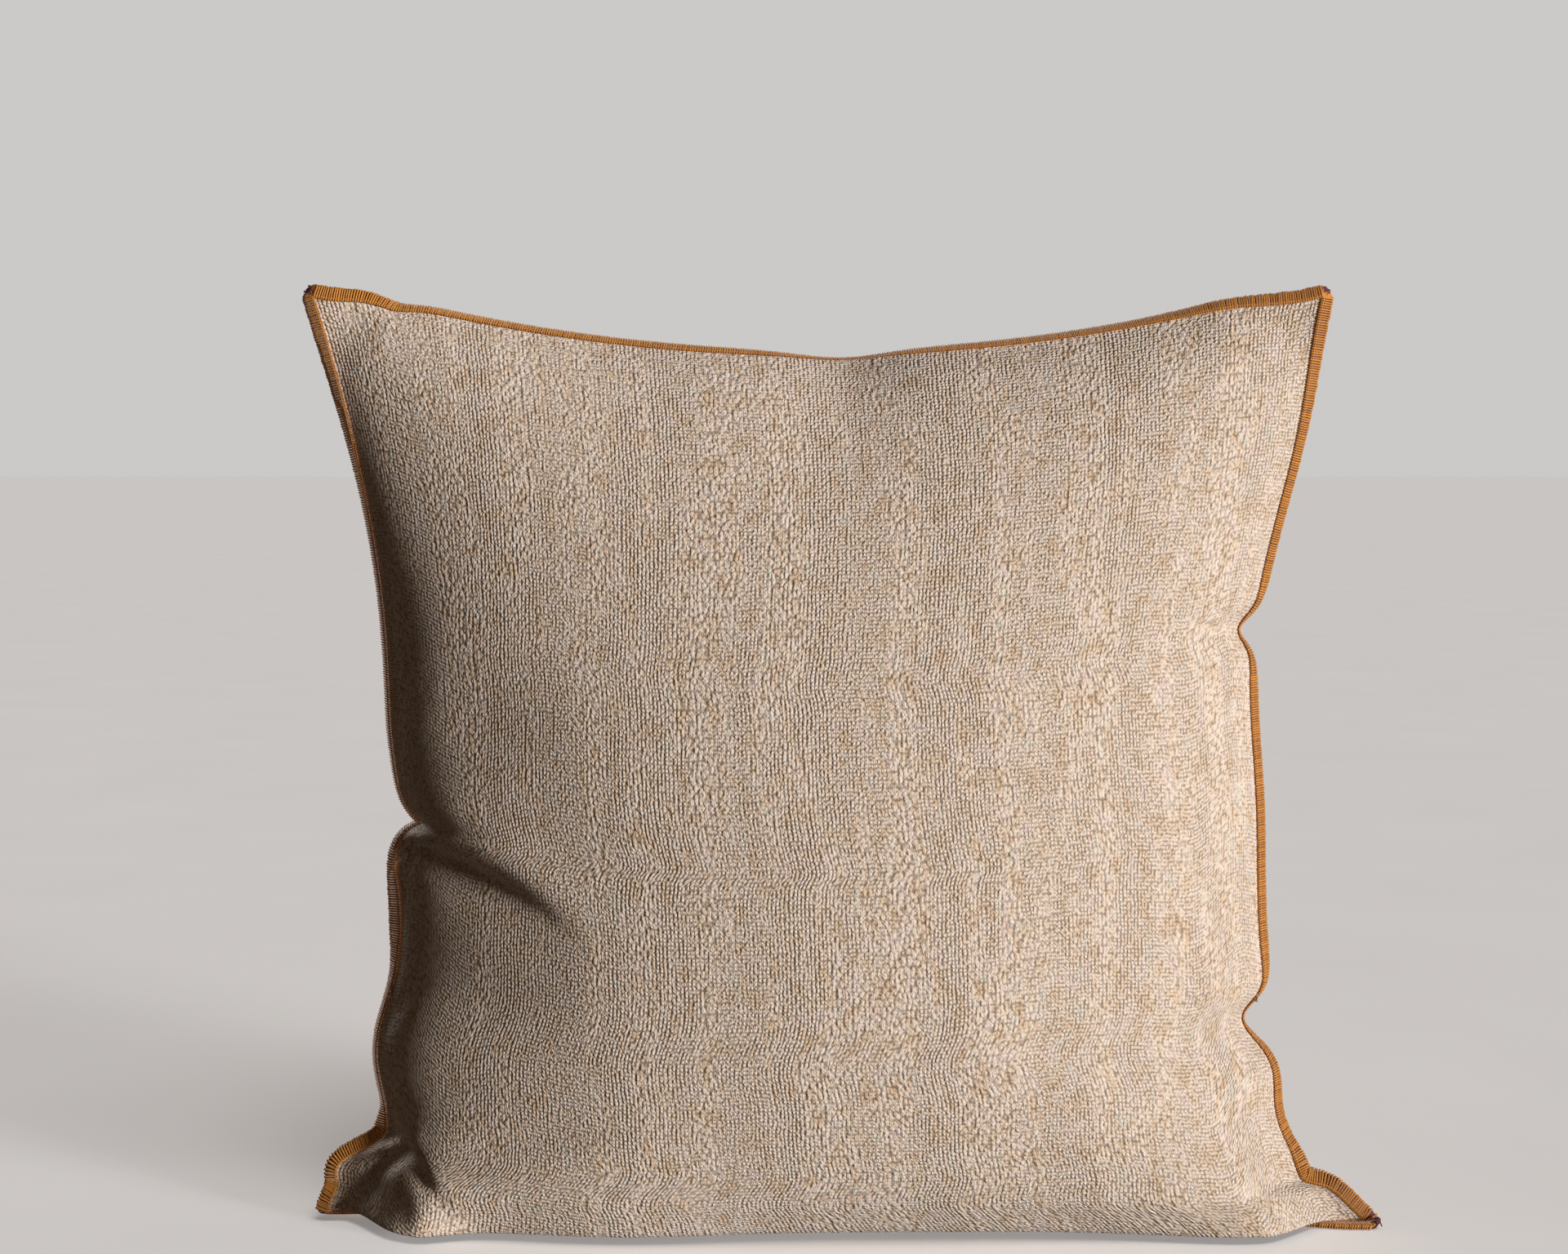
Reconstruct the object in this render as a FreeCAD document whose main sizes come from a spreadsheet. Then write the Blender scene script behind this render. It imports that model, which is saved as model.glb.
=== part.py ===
"""A square throw pillow: an overlocked woven cover with a zip across its back, and a fibre-filled insert.

Millimetres. +X is to the right seen from the front, the front faces -Y, +Z is up.
The origin is the middle of the flat patch on which the pillow stands.
"""
import FreeCAD, Part
import math
import os

import Sketcher

V = FreeCAD.Vector
DRIVING = {
    # the seam, in its own plane: across, and up from the floor
    "corner_half_bottom": 248.0,
    "corner_half_top": 243.0,
    "seam_rise": 450.0,
    "side_pull_in": 39.5,
    "top_pull_in": 35.5,
    "seam_lean": 4.0,
    "seam_floor_gap": 1.5,
    "seam_front_offset": 25.0,
    # how far the two faces stand out of the seam's plane
    "front_crown": 73.0,
    "back_crown": 68.0,
    "sag_share": 0.25,
    "edge_share": 0.15,
    "base_depth": 49.0,
    "base_sharpness": 6.0,
    # cloth, seam allowance and overlocked edge
    "cloth": 1.2,
    "seam_wall": 2.0,
    "allowance_layer": 0.9,
    "allowance_width": 5.4,
    "allowance_overlap": 1.0,
    "edge_start": 0.8,
    "edge_width": 6.0,
    "edge_thickness": 3.0,
    "tack_radius": 2.0,
    "tack_thickness": 3.6,
    # insert
    "insert_gap": 0.8,
    "insert_edge_gap": 8.0,
    "casing": 0.6,
    "filling_gap": 0.2,
    "dent_depth": 3.2,
    "dent_margin": 1.0,
    "dent_end_margin": 0.1,
    # zip, in its own frame: its track is an arc about the local Z axis
    "zip_height": 108.0,
    "zip_surface_radius": 490.0,
    "zip_radius": 487.1,
    "slot_half_angle": 18.9,
    "slot_half_height": 5.2,
    "slot_cut_depth": 30.0,
    "tape_half_angle": 19.6,
    "tape_width": 12.0,
    "tape_thickness": 0.7,
    "tape_inner_edge": 2.2,
    "chain_closed_angle": 16.4,
    "chain_open_angle": -17.7,
    "tooth_angle": 0.27,
    "tooth_width": 1.0,
    "tooth_reach": 0.7,
    "tooth_root": 3.3,
    "tooth_height": 1.6,
    "rib_height": 0.5,
    "rib_width": 1.0,
    "stop_angle": 18.1,
    "stop_length": 3.0,
    "stop_inner": 1.2,
    "stop_outer": 3.8,
    "stop_height": 2.9,
    "stop_depth": 1.0,
    # slider and pull, in the slider's own frame: X along the track, Y out of the cloth
    "slider_angle": 17.2,
    "slider_length": 11.0,
    "slider_tail_width": 8.2,
    "slider_nose_width": 8.8,
    "slider_notch": 1.6,
    "slider_shoulder": 2.0,
    "slider_play": 0.3,
    "slider_plate": 1.2,
    "slider_top": 3.45,
    "slider_wall": 0.7,
    "slider_wall_depth": 1.5,
    "post_length": 3.2,
    "post_width": 1.6,
    "post_front": 3.6,
    "bridge_width": 1.4,
    "bridge_length": 6.8,
    "bridge_height": 3.0,
    "bridge_leg": 1.2,
    "bridge_bar": 0.9,
    "pin_half": 0.6,
    "pin_height": 4.5,
    "pull_length": 22.0,
    "pull_width": 6.4,
    "pull_thickness": 1.1,
    "pull_eye_width": 3.0,
    "pull_eye_length": 5.0,
    "pull_corner": 1.6,
    # care label
    "label_start": 1.5,
    "label_reach": 12.0,
    "label_width": 25.0,
    "label_thickness": 0.3,
    "label_height": 34.0,
}
# each crowned face is a cubic surface with this many control points each way, on even knots
GRID = 17
KNOTS = list(range(GRID - 2))
MULTIPLICITIES = [4] + [1] * (GRID - 4) + [4]
# a length larger than the pillow for the cutting boxes, how far those boxes start below the floor,
# and the free height over the bottom edge
FAR = 600.0
BELOW_FLOOR = 1.0
EDGE_CLEARANCE = 0.1
# an expression nearer to zero than this puts its point on the sketch's axis
ON_AXIS = 1e-9

document = FreeCAD.newDocument("ThrowPillow")
sheet = document.addObject("Spreadsheet::Sheet", "Sizes")
for row, (name, value) in enumerate(DRIVING.items(), start=1):
    sheet.set("A%d" % row, name)
    sheet.set("B%d" % row, str(value))
    sheet.setAlias("B%d" % row, name)
document.recompute()
pieces = []


def size(name):
    """A driving dimension."""
    return float(getattr(sheet, name))


def worked_out(expression):
    """The value of an expression over the sheet."""
    return float(sheet.evalExpression(expression))


def cell(name):
    return "Sizes.%s" % name


SEAM_PLACE = FreeCAD.Placement(
    V(0, -size("seam_front_offset"), 0),
    FreeCAD.Rotation(V(1, 0, 0), 90 - size("seam_lean")),
)


# ---------------------------------------------------------------- crowned forms


def eased(angle):
    """Runs from -1 to 1 over -90 to 90 degrees, slowing towards both ends."""
    share = size("edge_share")
    return (1 - share) * math.sin(angle) + share * angle / (math.pi / 2)


def crowned_point(side, across, up, wall, inset, floor, set_back):
    """A control point of the front face (side -1) or the back (side 1), from two angles of -90 to 90 degrees.

    Both ends of across are the side seams. The ends of up are the base and the top seam. The seam's
    plane is moved back by set_back at the floor and less above, while the faces stay where they are.
    """
    height = (1 + eased(up)) / 2
    top = size("seam_rise") - size("top_pull_in") * (1 - eased(across) ** 2) - inset
    rise = floor + (top - floor) * height
    half = size("corner_half_bottom") * (1 - height) + size("corner_half_top") * height
    half -= size("side_pull_in") * (1 - eased(up) ** 2) + inset
    bulge = math.cos(across) * math.cos(up) * (1 - size("sag_share") * math.sin(up))
    crown = size("front_crown") if side < 0 else size("back_crown")
    set_back *= 1 - rise / size("seam_rise")
    depth = side * (crown - wall - side * set_back) * bulge
    if side > 0:
        flare = (1 - height) ** size("base_sharpness")
        depth += (size("base_depth") - wall - set_back) * math.cos(across) * flare
    lean = math.radians(size("seam_lean"))
    seam = rise * math.tan(lean) - size("seam_front_offset") + set_back
    return V(half * eased(across), seam + depth, rise)


def control_points(side, *place):
    angles = [math.pi * (i / (GRID - 1) - 0.5) for i in range(GRID)]
    return [[crowned_point(side, i, j, *place) for j in angles] for i in angles]


def spline_edge(poles):
    curve = Part.BSplineCurve()
    curve.buildFromPolesMultsKnots(poles, MULTIPLICITIES, KNOTS, False, 3)
    return curve.toShape()


def spline_face(poles):
    surface = Part.BSplineSurface()
    surface.buildFromPolesMultsKnots(
        poles, MULTIPLICITIES, MULTIPLICITIES, KNOTS, KNOTS, False, False, 3, 3
    )
    return surface.toShape()


def closed_solid(faces):
    shell = Part.Shell(faces)
    shell.sewShape()
    solid = Part.Solid(shell)
    if solid.Volume < 0:
        solid.reverse()
    return solid


def half_form(side, *place):
    """The front half (side -1) or back half (side 1) of the pillow, closed in the seam's plane.

    Its place is a wall that its face is moved in by, an inset of its seam, its floor and its set-back.
    """
    poles = control_points(side, *place)
    front_hem = [column[0] for column in control_points(-1, *place)]
    seam = [poles[0], [column[-1] for column in poles], poles[-1], front_hem]
    faces = [spline_face(poles), Part.Face(Part.Wire([spline_edge(points) for points in seam]))]
    if side > 0:
        back_hem = [column[0] for column in poles]
        faces.append(Part.Face(Part.Wire([spline_edge(front_hem), spline_edge(back_hem)])))
    return closed_solid(faces)


def whole_form(*place):
    """Both halves of the pillow's form as one solid."""
    front = control_points(-1, *place)
    back = control_points(1, *place)
    hems = [spline_edge([column[0] for column in poles]) for poles in (front, back)]
    return closed_solid([spline_face(front), spline_face(back), Part.Face(Part.Wire(hems))])


back_outside = half_form(1, 0, 0, 0, 0)


def back_surface(height):
    """How far back the cover's rear face is in the middle, at a height."""
    line = Part.LineSegment(V(0, 0, height), V(0, FAR, height)).toShape()
    return max(vertex.Point.y for vertex in back_outside.common(line).Vertexes)


# the track follows the rear face: it leans as the face does there, and its arc is centred inside
ZIP_SPAN = 12.0
ZIP_TILT = math.degrees(
    math.atan2(
        back_surface(size("zip_height") + ZIP_SPAN) - back_surface(size("zip_height") - ZIP_SPAN),
        2 * ZIP_SPAN,
    )
)
ZIP_TURN = FreeCAD.Rotation(V(1, 0, 0), -ZIP_TILT)
ZIP_MIDDLE = V(0, back_surface(size("zip_height")), size("zip_height"))
ZIP_CENTRE = ZIP_MIDDLE - ZIP_TURN.multVec(V(0, size("zip_surface_radius"), 0))
ZIP_PLACE = FreeCAD.Placement(ZIP_CENTRE, ZIP_TURN)
# turns a frame on the track so that its X axis points out of the cloth
QUARTER = FreeCAD.Placement(V(0, 0, 0), FreeCAD.Rotation(V(0, 0, 1), 90))


def on_track(angle, radius=0.0):
    """A frame on the zip's track: X along it, Y out of the cloth, at an angle from the middle towards +X."""
    turn = FreeCAD.Placement(V(0, 0, 0), FreeCAD.Rotation(V(0, 0, 1), -angle))
    return ZIP_PLACE.multiply(turn).multiply(FreeCAD.Placement(V(0, radius, 0), FreeCAD.Rotation()))


def track_sector(inner, outer, half_height, half_angle):
    """A block that follows the track between two radii."""
    sector = Part.makeCylinder(outer, 2 * half_height, V(0, 0, -half_height), V(0, 0, 1), 2 * half_angle)
    core = Part.makeCylinder(inner, 2 * half_height, V(0, 0, -half_height), V(0, 0, 1), 2 * half_angle)
    block = sector.cut(core)
    block.Placement = on_track(half_angle).multiply(QUARTER)
    return block


# ---------------------------------------------------------------- the seam's arcs


def circle_through(start, middle, end):
    circle = Part.Arc(start, middle, end).toShape().Curve
    return circle.Center, circle.Radius


LEFT_BOTTOM = V(-size("corner_half_bottom"), 0, 0)
LEFT_TOP = V(-size("corner_half_top"), size("seam_rise"), 0)
LEFT_MIDDLE = (LEFT_BOTTOM + LEFT_TOP) * 0.5 + V(size("side_pull_in"), 0, 0)


def mirrored(point):
    return V(-point.x, point.y, point.z)


SEAM_ARCS = {
    "top": circle_through(LEFT_TOP, V(0, size("seam_rise") - size("top_pull_in"), 0), mirrored(LEFT_TOP)),
    "left": circle_through(LEFT_BOTTOM, LEFT_MIDDLE, LEFT_TOP),
    "right": circle_through(mirrored(LEFT_BOTTOM), mirrored(LEFT_MIDDLE), mirrored(LEFT_TOP)),
}


def top_corner(side, offset):
    """Where the top arc and a side arc meet, both moved out of the pillow by an offset."""
    top_centre, top_radius = SEAM_ARCS["top"]
    side_centre, side_radius = SEAM_ARCS[side]
    r1 = top_radius - offset
    r2 = side_radius - offset
    between = side_centre - top_centre
    gap = between.Length
    along = (r1 * r1 - r2 * r2 + gap * gap) / (2 * gap)
    across = math.sqrt(r1 * r1 - along * along)
    unit = between * (1 / gap)
    foot = top_centre + unit * along
    normal = V(-unit.y, unit.x, 0) * across
    seam_corner = LEFT_TOP if side == "left" else mirrored(LEFT_TOP)
    return min(foot + normal, foot - normal, key=lambda point: (point - seam_corner).Length)


def on_side_arc(side, offset, rise):
    """The point of a side arc, moved out by an offset, at a distance up from the floor end."""
    centre, radius = SEAM_ARCS[side]
    reach = math.sqrt((radius - offset) ** 2 - (rise - centre.y) ** 2)
    return V(centre.x + (reach if side == "left" else -reach), rise, 0)


def band_outline(side, start, end, rise):
    """Edges of the strip along one side of the seam between two offsets; side strips begin at a rise."""
    outline = []
    ends = {}
    for offset in (start, end):
        if side == "top":
            ends[offset] = (top_corner("left", offset), top_corner("right", offset))
        else:
            ends[offset] = (on_side_arc(side, offset, rise), top_corner(side, offset))
    centre, radius = SEAM_ARCS[side]
    for offset in (start, end):
        first, last = ends[offset]
        halfway = (first + last) * 0.5 - centre
        middle = centre + halfway * ((radius - offset) / halfway.Length)
        outline.append(Part.Arc(first, middle, last))
    outline.append(Part.LineSegment(ends[start][0], ends[end][0]))
    outline.append(Part.LineSegment(ends[start][1], ends[end][1]))
    return outline


# ---------------------------------------------------------------- document helpers


def feature(name, shape):
    """A piece whose shape is worked out from the sheet."""
    piece = document.addObject("Part::Feature", name)
    piece.Label = name
    piece.Shape = shape
    piece.Placement = FreeCAD.Placement(V(0, 0, 0), FreeCAD.Rotation())
    pieces.append(piece)
    return piece


def new_body(name, placement):
    body = document.addObject("PartDesign::Body", name)
    body.Label = name
    body.Placement = placement
    pieces.append(body)
    return body


def new_sketch(body, plane, name):
    sketch = body.newObject("Sketcher::SketchObject", name)
    support = [item for item in body.Origin.OriginFeatures if item.Role == plane][0]
    sketch.AttachmentSupport = [(support, "")]
    sketch.MapMode = "FlatFace"
    return sketch


def polygon(sketch, points):
    """A closed outline through points given as pairs of expressions over the sheet."""
    corners = [V(worked_out(x), worked_out(y), 0) for x, y in points]
    first = sketch.GeometryCount
    count = len(points)
    for i in range(count):
        sketch.addGeometry(Part.LineSegment(corners[i], corners[(i + 1) % count]))
    for i in range(count):
        sketch.addConstraint(Sketcher.Constraint("Coincident", first + i, 2, first + (i + 1) % count, 1))
    for i, (x, y) in enumerate(points):
        for kind, value, expression in (("DistanceX", corners[i].x, x), ("DistanceY", corners[i].y, y)):
            if abs(value) < ON_AXIS:
                axis = -2 if kind == "DistanceX" else -1
                sketch.addConstraint(Sketcher.Constraint("PointOnObject", first + i, 1, axis))
                continue
            index = sketch.addConstraint(Sketcher.Constraint(kind, -1, 1, first + i, 1, value))
            sketch.setExpression("Constraints[%d]" % index, expression)


def rectangle(sketch, left, bottom, right, top):
    polygon(sketch, [(left, bottom), (right, bottom), (right, top), (left, top)])


def pad(body, sketch, length, name, midplane=False, reverse=False):
    made = body.newObject("PartDesign::Pad", name)
    made.Profile = sketch
    made.setExpression("Length", length)
    made.Midplane = midplane
    made.Reversed = reverse
    return made


def pocket(body, sketch, length, name):
    """A cut of a length that is centred on its sketch."""
    made = body.newObject("PartDesign::Pocket", name)
    made.Profile = sketch
    made.setExpression("Length", length)
    made.Midplane = True
    return made


def turn(body, sketch, angle, name):
    """A revolution about the body's Z axis."""
    made = body.newObject("PartDesign::Revolution", name)
    made.Profile = sketch
    made.ReferenceAxis = (sketch, ["V_Axis"])
    made.setExpression("Angle", angle)
    made.Reversed = False
    return made


# ---------------------------------------------------------------- cover


def allowance(side, layer):
    """One cloth layer of the seam allowance: layer 1 is the front panel's, -1 the back panel's."""
    thick = size("allowance_layer")
    overlap = size("allowance_overlap")
    if side == "bottom":
        box = Part.makeBox(
            2 * size("corner_half_bottom"),
            size("allowance_width") + overlap,
            thick,
            V(-size("corner_half_bottom"), 0, 0),
        )
        front = -size("seam_front_offset") - size("allowance_width")
        box.Placement.Base = V(0, front, size("seam_floor_gap") - (0 if layer > 0 else thick))
        return box
    rise = size("edge_thickness") / 2 + size("tack_radius")
    outline = band_outline(side, -overlap, size("allowance_width"), rise)
    face = Part.Face(Part.Wire(Part.__sortEdges__([item.toShape() for item in outline])))
    strip = face.extrude(V(0, 0, layer * thick))
    strip.Placement = SEAM_PLACE
    return strip


def bottom_edge_room(side):
    """The space that the bottom edge takes up on the floor; the front panel also stops short of the floor."""
    width = size("edge_width") - size("edge_start")
    corner = V(-FAR, -size("seam_front_offset") - size("edge_width"), -BELOW_FLOOR)
    room = Part.makeBox(2 * FAR, width, BELOW_FLOOR + size("edge_thickness") + EDGE_CLEARANCE, corner)
    if side > 0:
        return room
    low_corner = V(-FAR, -FAR / 2, -BELOW_FLOOR)
    return room.fuse(Part.makeBox(2 * FAR, FAR, BELOW_FLOOR + size("seam_floor_gap"), low_corner))


def panel(side):
    inside = half_form(side, size("cloth"), size("seam_wall"), size("cloth"), 0)
    shell = half_form(side, 0, 0, 0, 0).cut(inside)
    layer = -side
    strips = [allowance(name, layer) for name in ("top", "left", "right", "bottom")]
    return shell.cut(bottom_edge_room(side)).multiFuse(strips)


def back_panels(back):
    """The back is two pieces that meet beside the zip; its slot is where the chain shows."""
    radius, reach = size("zip_radius"), size("slot_cut_depth")
    slot = track_sector(
        radius - reach, radius + reach, size("slot_half_height"), size("slot_half_angle")
    )
    back = back.cut(slot)
    half = Part.makeBox(2 * FAR, 2 * FAR, FAR, V(-FAR, 0, 0))
    half.Placement = ZIP_PLACE
    return back.common(half), back.cut(half)


def make_cover():
    feature("front_panel", panel(-1))
    upper, lower = back_panels(panel(1))
    feature("back_panel_upper", upper)
    feature("back_panel_lower", lower)


def make_overlock_edge(side):
    """A channel of thread that wraps both layers of the allowance."""
    body = new_body("overlock_edge_%s" % side, SEAM_PLACE)
    rise = size("edge_thickness") / 2 + size("tack_radius")
    outline = new_sketch(body, "XY_Plane", "%s_outline" % side)
    for item in band_outline(side, size("edge_start"), size("edge_width"), rise):
        outline.addGeometry(item)
    pad(body, outline, cell("edge_thickness"), "%s_band" % side, midplane=True)
    slot = new_sketch(body, "XY_Plane", "%s_slot" % side)
    for item in band_outline(side, size("edge_start"), size("allowance_width"), rise):
        slot.addGeometry(item)
    pocket(body, slot, "2 * %s" % cell("allowance_layer"), "%s_channel" % side)


def make_bottom_edge():
    """The bottom run lies flat on the floor, ahead of the seam."""
    start = FreeCAD.Placement(
        V(0, -size("seam_front_offset"), size("seam_floor_gap")), FreeCAD.Rotation()
    )
    body = new_body("overlock_edge_bottom", start)
    half = cell("corner_half_bottom") + " + " + cell("edge_width")
    outline = new_sketch(body, "XY_Plane", "bottom_outline")
    rectangle(outline, "-(%s)" % half, "-" + cell("edge_width"), half, "-" + cell("edge_start"))
    pad(body, outline, cell("edge_thickness"), "bottom_band", midplane=True)
    slot = new_sketch(body, "XY_Plane", "bottom_slot")
    across = cell("corner_half_bottom")
    rectangle(slot, "-" + across, "-" + cell("allowance_width"), across, "-" + cell("edge_start"))
    pocket(body, slot, "2 * %s" % cell("allowance_layer"), "bottom_channel")


def make_corner_tack(name, place):
    """A bead of thread against a corner's tip."""
    tack = document.addObject("Part::Cylinder", name)
    tack.Label = name
    tack.setExpression("Radius", cell("tack_radius"))
    tack.setExpression("Height", cell("tack_thickness"))
    tack.Placement = place
    pieces.append(tack)


def make_corner_tacks():
    for side, sign in (("left", -1), ("right", 1)):
        inner = top_corner(side, 0)
        tip = top_corner(side, size("edge_width"))
        out = (tip - inner).normalize()
        middle = tip + out * size("tack_radius")
        lower = V(middle.x, middle.y, -size("tack_thickness") / 2)
        place = SEAM_PLACE.multiply(FreeCAD.Placement(lower, FreeCAD.Rotation()))
        make_corner_tack("corner_tack_top_%s" % side, place)
        reach = size("corner_half_bottom") + size("edge_width") + size("tack_radius")
        front = -size("seam_front_offset") - size("edge_width") / 2
        floor = V(sign * reach, front, 0)
        make_corner_tack("corner_tack_bottom_%s" % side, FreeCAD.Placement(floor, FreeCAD.Rotation()))


def make_care_label():
    """A blank tape caught in the right-hand edge, behind it and standing out past it."""
    label = document.addObject("Part::Box", "care_label")
    label.Label = "care_label"
    label.setExpression("Length", cell("label_reach"))
    label.setExpression("Width", cell("label_width"))
    label.setExpression("Height", cell("label_thickness"))
    foot = on_side_arc("right", size("label_start"), size("label_height") - size("label_width") / 2)
    head = on_side_arc("right", size("label_start"), size("label_height") + size("label_width") / 2)
    lean = math.degrees(math.atan2(foot.x - head.x, head.y - foot.y))
    depth = -size("edge_thickness") / 2 - size("label_thickness")
    local = FreeCAD.Placement(V(foot.x, foot.y, depth), FreeCAD.Rotation(V(0, 0, 1), lean))
    label.Placement = SEAM_PLACE.multiply(local)
    pieces.append(label)


# ---------------------------------------------------------------- zip


def make_tape(name, sign):
    """One half of the tape, a strip that follows the track."""
    body = new_body(name, on_track(size("tape_half_angle")).multiply(QUARTER))
    section = new_sketch(body, "XZ_Plane", name + "_section")
    near = "%d * %s" % (sign, cell("tape_inner_edge"))
    far = "%d * (%s + %s)" % (sign, cell("tape_inner_edge"), cell("tape_width"))
    inner = "%s - %s / 2" % (cell("zip_radius"), cell("tape_thickness"))
    outer = "%s + %s / 2" % (cell("zip_radius"), cell("tape_thickness"))
    rectangle(section, inner, near, outer, far)
    turn(body, section, "2 * " + cell("tape_half_angle"), name + "_strip")


def make_teeth(name, sign, shift):
    """One half of the chain: a rib on the tape's edge, and teeth that reach across the middle."""
    start = size("chain_closed_angle") - shift
    body = new_body(name, on_track(start).multiply(QUARTER))
    base = "%s + %s / 2" % (cell("zip_radius"), cell("tape_thickness"))
    swept = size("chain_closed_angle") - size("chain_open_angle") - size("tooth_angle")
    count = int(swept / size("tooth_angle"))
    rib = new_sketch(body, "XZ_Plane", name + "_rib_section")
    root = "%d * %s" % (sign, cell("tooth_root"))
    rib_edge = "%d * (%s - %s)" % (sign, cell("tooth_root"), cell("rib_width"))
    rectangle(rib, base, rib_edge, "%s + %s" % (base, cell("rib_height")), root)
    turn(body, rib, "%d * %s" % (count, cell("tooth_angle")), name + "_rib")
    tooth = new_sketch(body, "XZ_Plane", name + "_tooth_section")
    tip = "%d * %s" % (-sign, cell("tooth_reach"))
    rectangle(tooth, base, tip, "%s + %s" % (base, cell("tooth_height")), root)
    first = pad(body, tooth, cell("tooth_width"), name + "_tooth", reverse=True)
    document.recompute()
    pattern = body.newObject("PartDesign::PolarPattern", name + "_teeth")
    pattern.Originals = [first]
    z_axis = [item for item in body.Origin.OriginFeatures if item.Role == "Z_Axis"][0]
    pattern.Axis = (z_axis, [""])
    pattern.Occurrences = count
    pattern.setExpression("Angle", "%d * %s" % (count - 1, cell("tooth_angle")))
    body.Tip = pattern


def make_stop(name, angle, sides):
    """Crimped blocks on the tape's inner edge; both sides together make one block across the track."""
    body = new_body(name, on_track(angle, size("zip_radius")))
    sketch = new_sketch(body, "YZ_Plane", name + "_section")
    low = "-" + cell("stop_depth")
    high = "%s - %s" % (cell("stop_height"), cell("stop_depth"))
    outer = cell("stop_outer")
    thick = cell("tape_thickness")
    edge = cell("tape_inner_edge")
    bottom = {"both": "-" + outer, "upper": cell("stop_inner"), "lower": "-" + outer}[sides]
    top = {"both": outer, "upper": outer, "lower": "-" + cell("stop_inner")}[sides]
    rectangle(sketch, low, bottom, high, top)
    pad(body, sketch, cell("stop_length"), name + "_block", midplane=True)
    for sign, label in ((1, "upper"), (-1, "lower")):
        if sides not in ("both", label):
            continue
        gap = new_sketch(body, "YZ_Plane", "%s_%s_gap" % (name, label))
        near = "%d * %s" % (sign, edge)
        far = "%d * (%s + %s)" % (sign, outer, cell("stop_depth"))
        rectangle(gap, "-%s / 2" % thick, near, "%s / 2" % thick, far)
        pocket(body, gap, "2 * %s" % cell("stop_length"), "%s_%s_crimp" % (name, label))


def slider_outline():
    """The plan of both plates: wide at the nose, with a notch where the two tapes part."""
    half = cell("slider_length") + " / 2"
    tail = cell("slider_tail_width") + " / 2"
    nose = cell("slider_nose_width") + " / 2"
    notch = cell("slider_notch")
    wide = cell("slider_shoulder")
    return [
        ("-(%s)" % half, "-(%s)" % tail),
        ("0", "-(%s)" % tail),
        (wide, "-(%s)" % nose),
        (half, "-(%s)" % nose),
        ("%s - %s" % (half, notch), "0"),
        (half, nose),
        (wide, nose),
        ("0", tail),
        ("-(%s)" % half, tail),
    ]


def across_sketch(body, name, height):
    """A sketch at a height out of the cloth, seen from outside it."""
    sketch = new_sketch(body, "XZ_Plane", name)
    sketch.AttachmentOffset = FreeCAD.Placement(V(0, 0, -worked_out(height)), FreeCAD.Rotation())
    return sketch


def slider_walls(body, under_plate):
    """Lips along both sides of the outer plate, which keep the teeth in."""
    walls = across_sketch(body, "walls_outline", under_plate)
    half = cell("slider_length") + " / 2"
    wide = cell("slider_shoulder")
    thick = cell("slider_wall")
    runs = (("-(%s)" % half, "0", "slider_tail_width"), (wide, half, "slider_nose_width"))
    for start, end, width in runs:
        outer = "%s / 2" % cell(width)
        inner = "%s - %s" % (outer, thick)
        rectangle(walls, start, inner, end, outer)
        rectangle(walls, start, "-(%s)" % outer, end, "-(%s)" % inner)
    pad(body, walls, cell("slider_wall_depth"), "walls")


def slider_bridge(body):
    """An arch over the outer plate with room under it for the pull's pin."""
    arch = new_sketch(body, "XY_Plane", "bridge_outline")
    out = cell("bridge_length") + " / 2"
    window = "%s - %s" % (out, cell("bridge_leg"))
    base = cell("slider_top")
    crest = "%s + %s" % (base, cell("bridge_height"))
    under = "%s - %s" % (crest, cell("bridge_bar"))
    profile = [
        ("-(%s)" % out, base),
        ("-(%s)" % out, crest),
        (out, crest),
        (out, base),
        (window, base),
        (window, under),
        ("-(%s)" % window, under),
        ("-(%s)" % window, base),
    ]
    polygon(arch, profile)
    pad(body, arch, cell("bridge_width"), "bridge", midplane=True)


def make_slider():
    """Two plates joined by a wedge-shaped post, side walls, and a bridge that holds the pull."""
    body = new_body("zip_slider", on_track(size("slider_angle"), size("zip_radius")))
    plate = cell("slider_plate")
    under_plate = "%s - %s" % (cell("slider_top"), plate)
    inner_face = "-%s / 2 - %s - %s" % (cell("tape_thickness"), cell("slider_play"), plate)
    point = cell("post_front")
    wide = "%s / 2" % cell("post_width")
    post = [
        ("%s - %s" % (point, cell("post_length")), "0"),
        ("%s - %s / 2" % (point, cell("post_width")), "-%s" % wide),
        (point, "0"),
        ("%s - %s / 2" % (point, cell("post_width")), wide),
    ]
    sketch = across_sketch(body, "outer_plate_outline", under_plate)
    polygon(sketch, slider_outline())
    pad(body, sketch, plate, "outer_plate", reverse=True)
    sketch = across_sketch(body, "post_outline", inner_face)
    polygon(sketch, post)
    pad(body, sketch, "%s - (%s)" % (cell("slider_top"), inner_face), "post", reverse=True)
    sketch = across_sketch(body, "inner_plate_outline", inner_face)
    polygon(sketch, slider_outline())
    pad(body, sketch, plate, "inner_plate", reverse=True)
    slider_walls(body, under_plate)
    slider_bridge(body)


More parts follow.
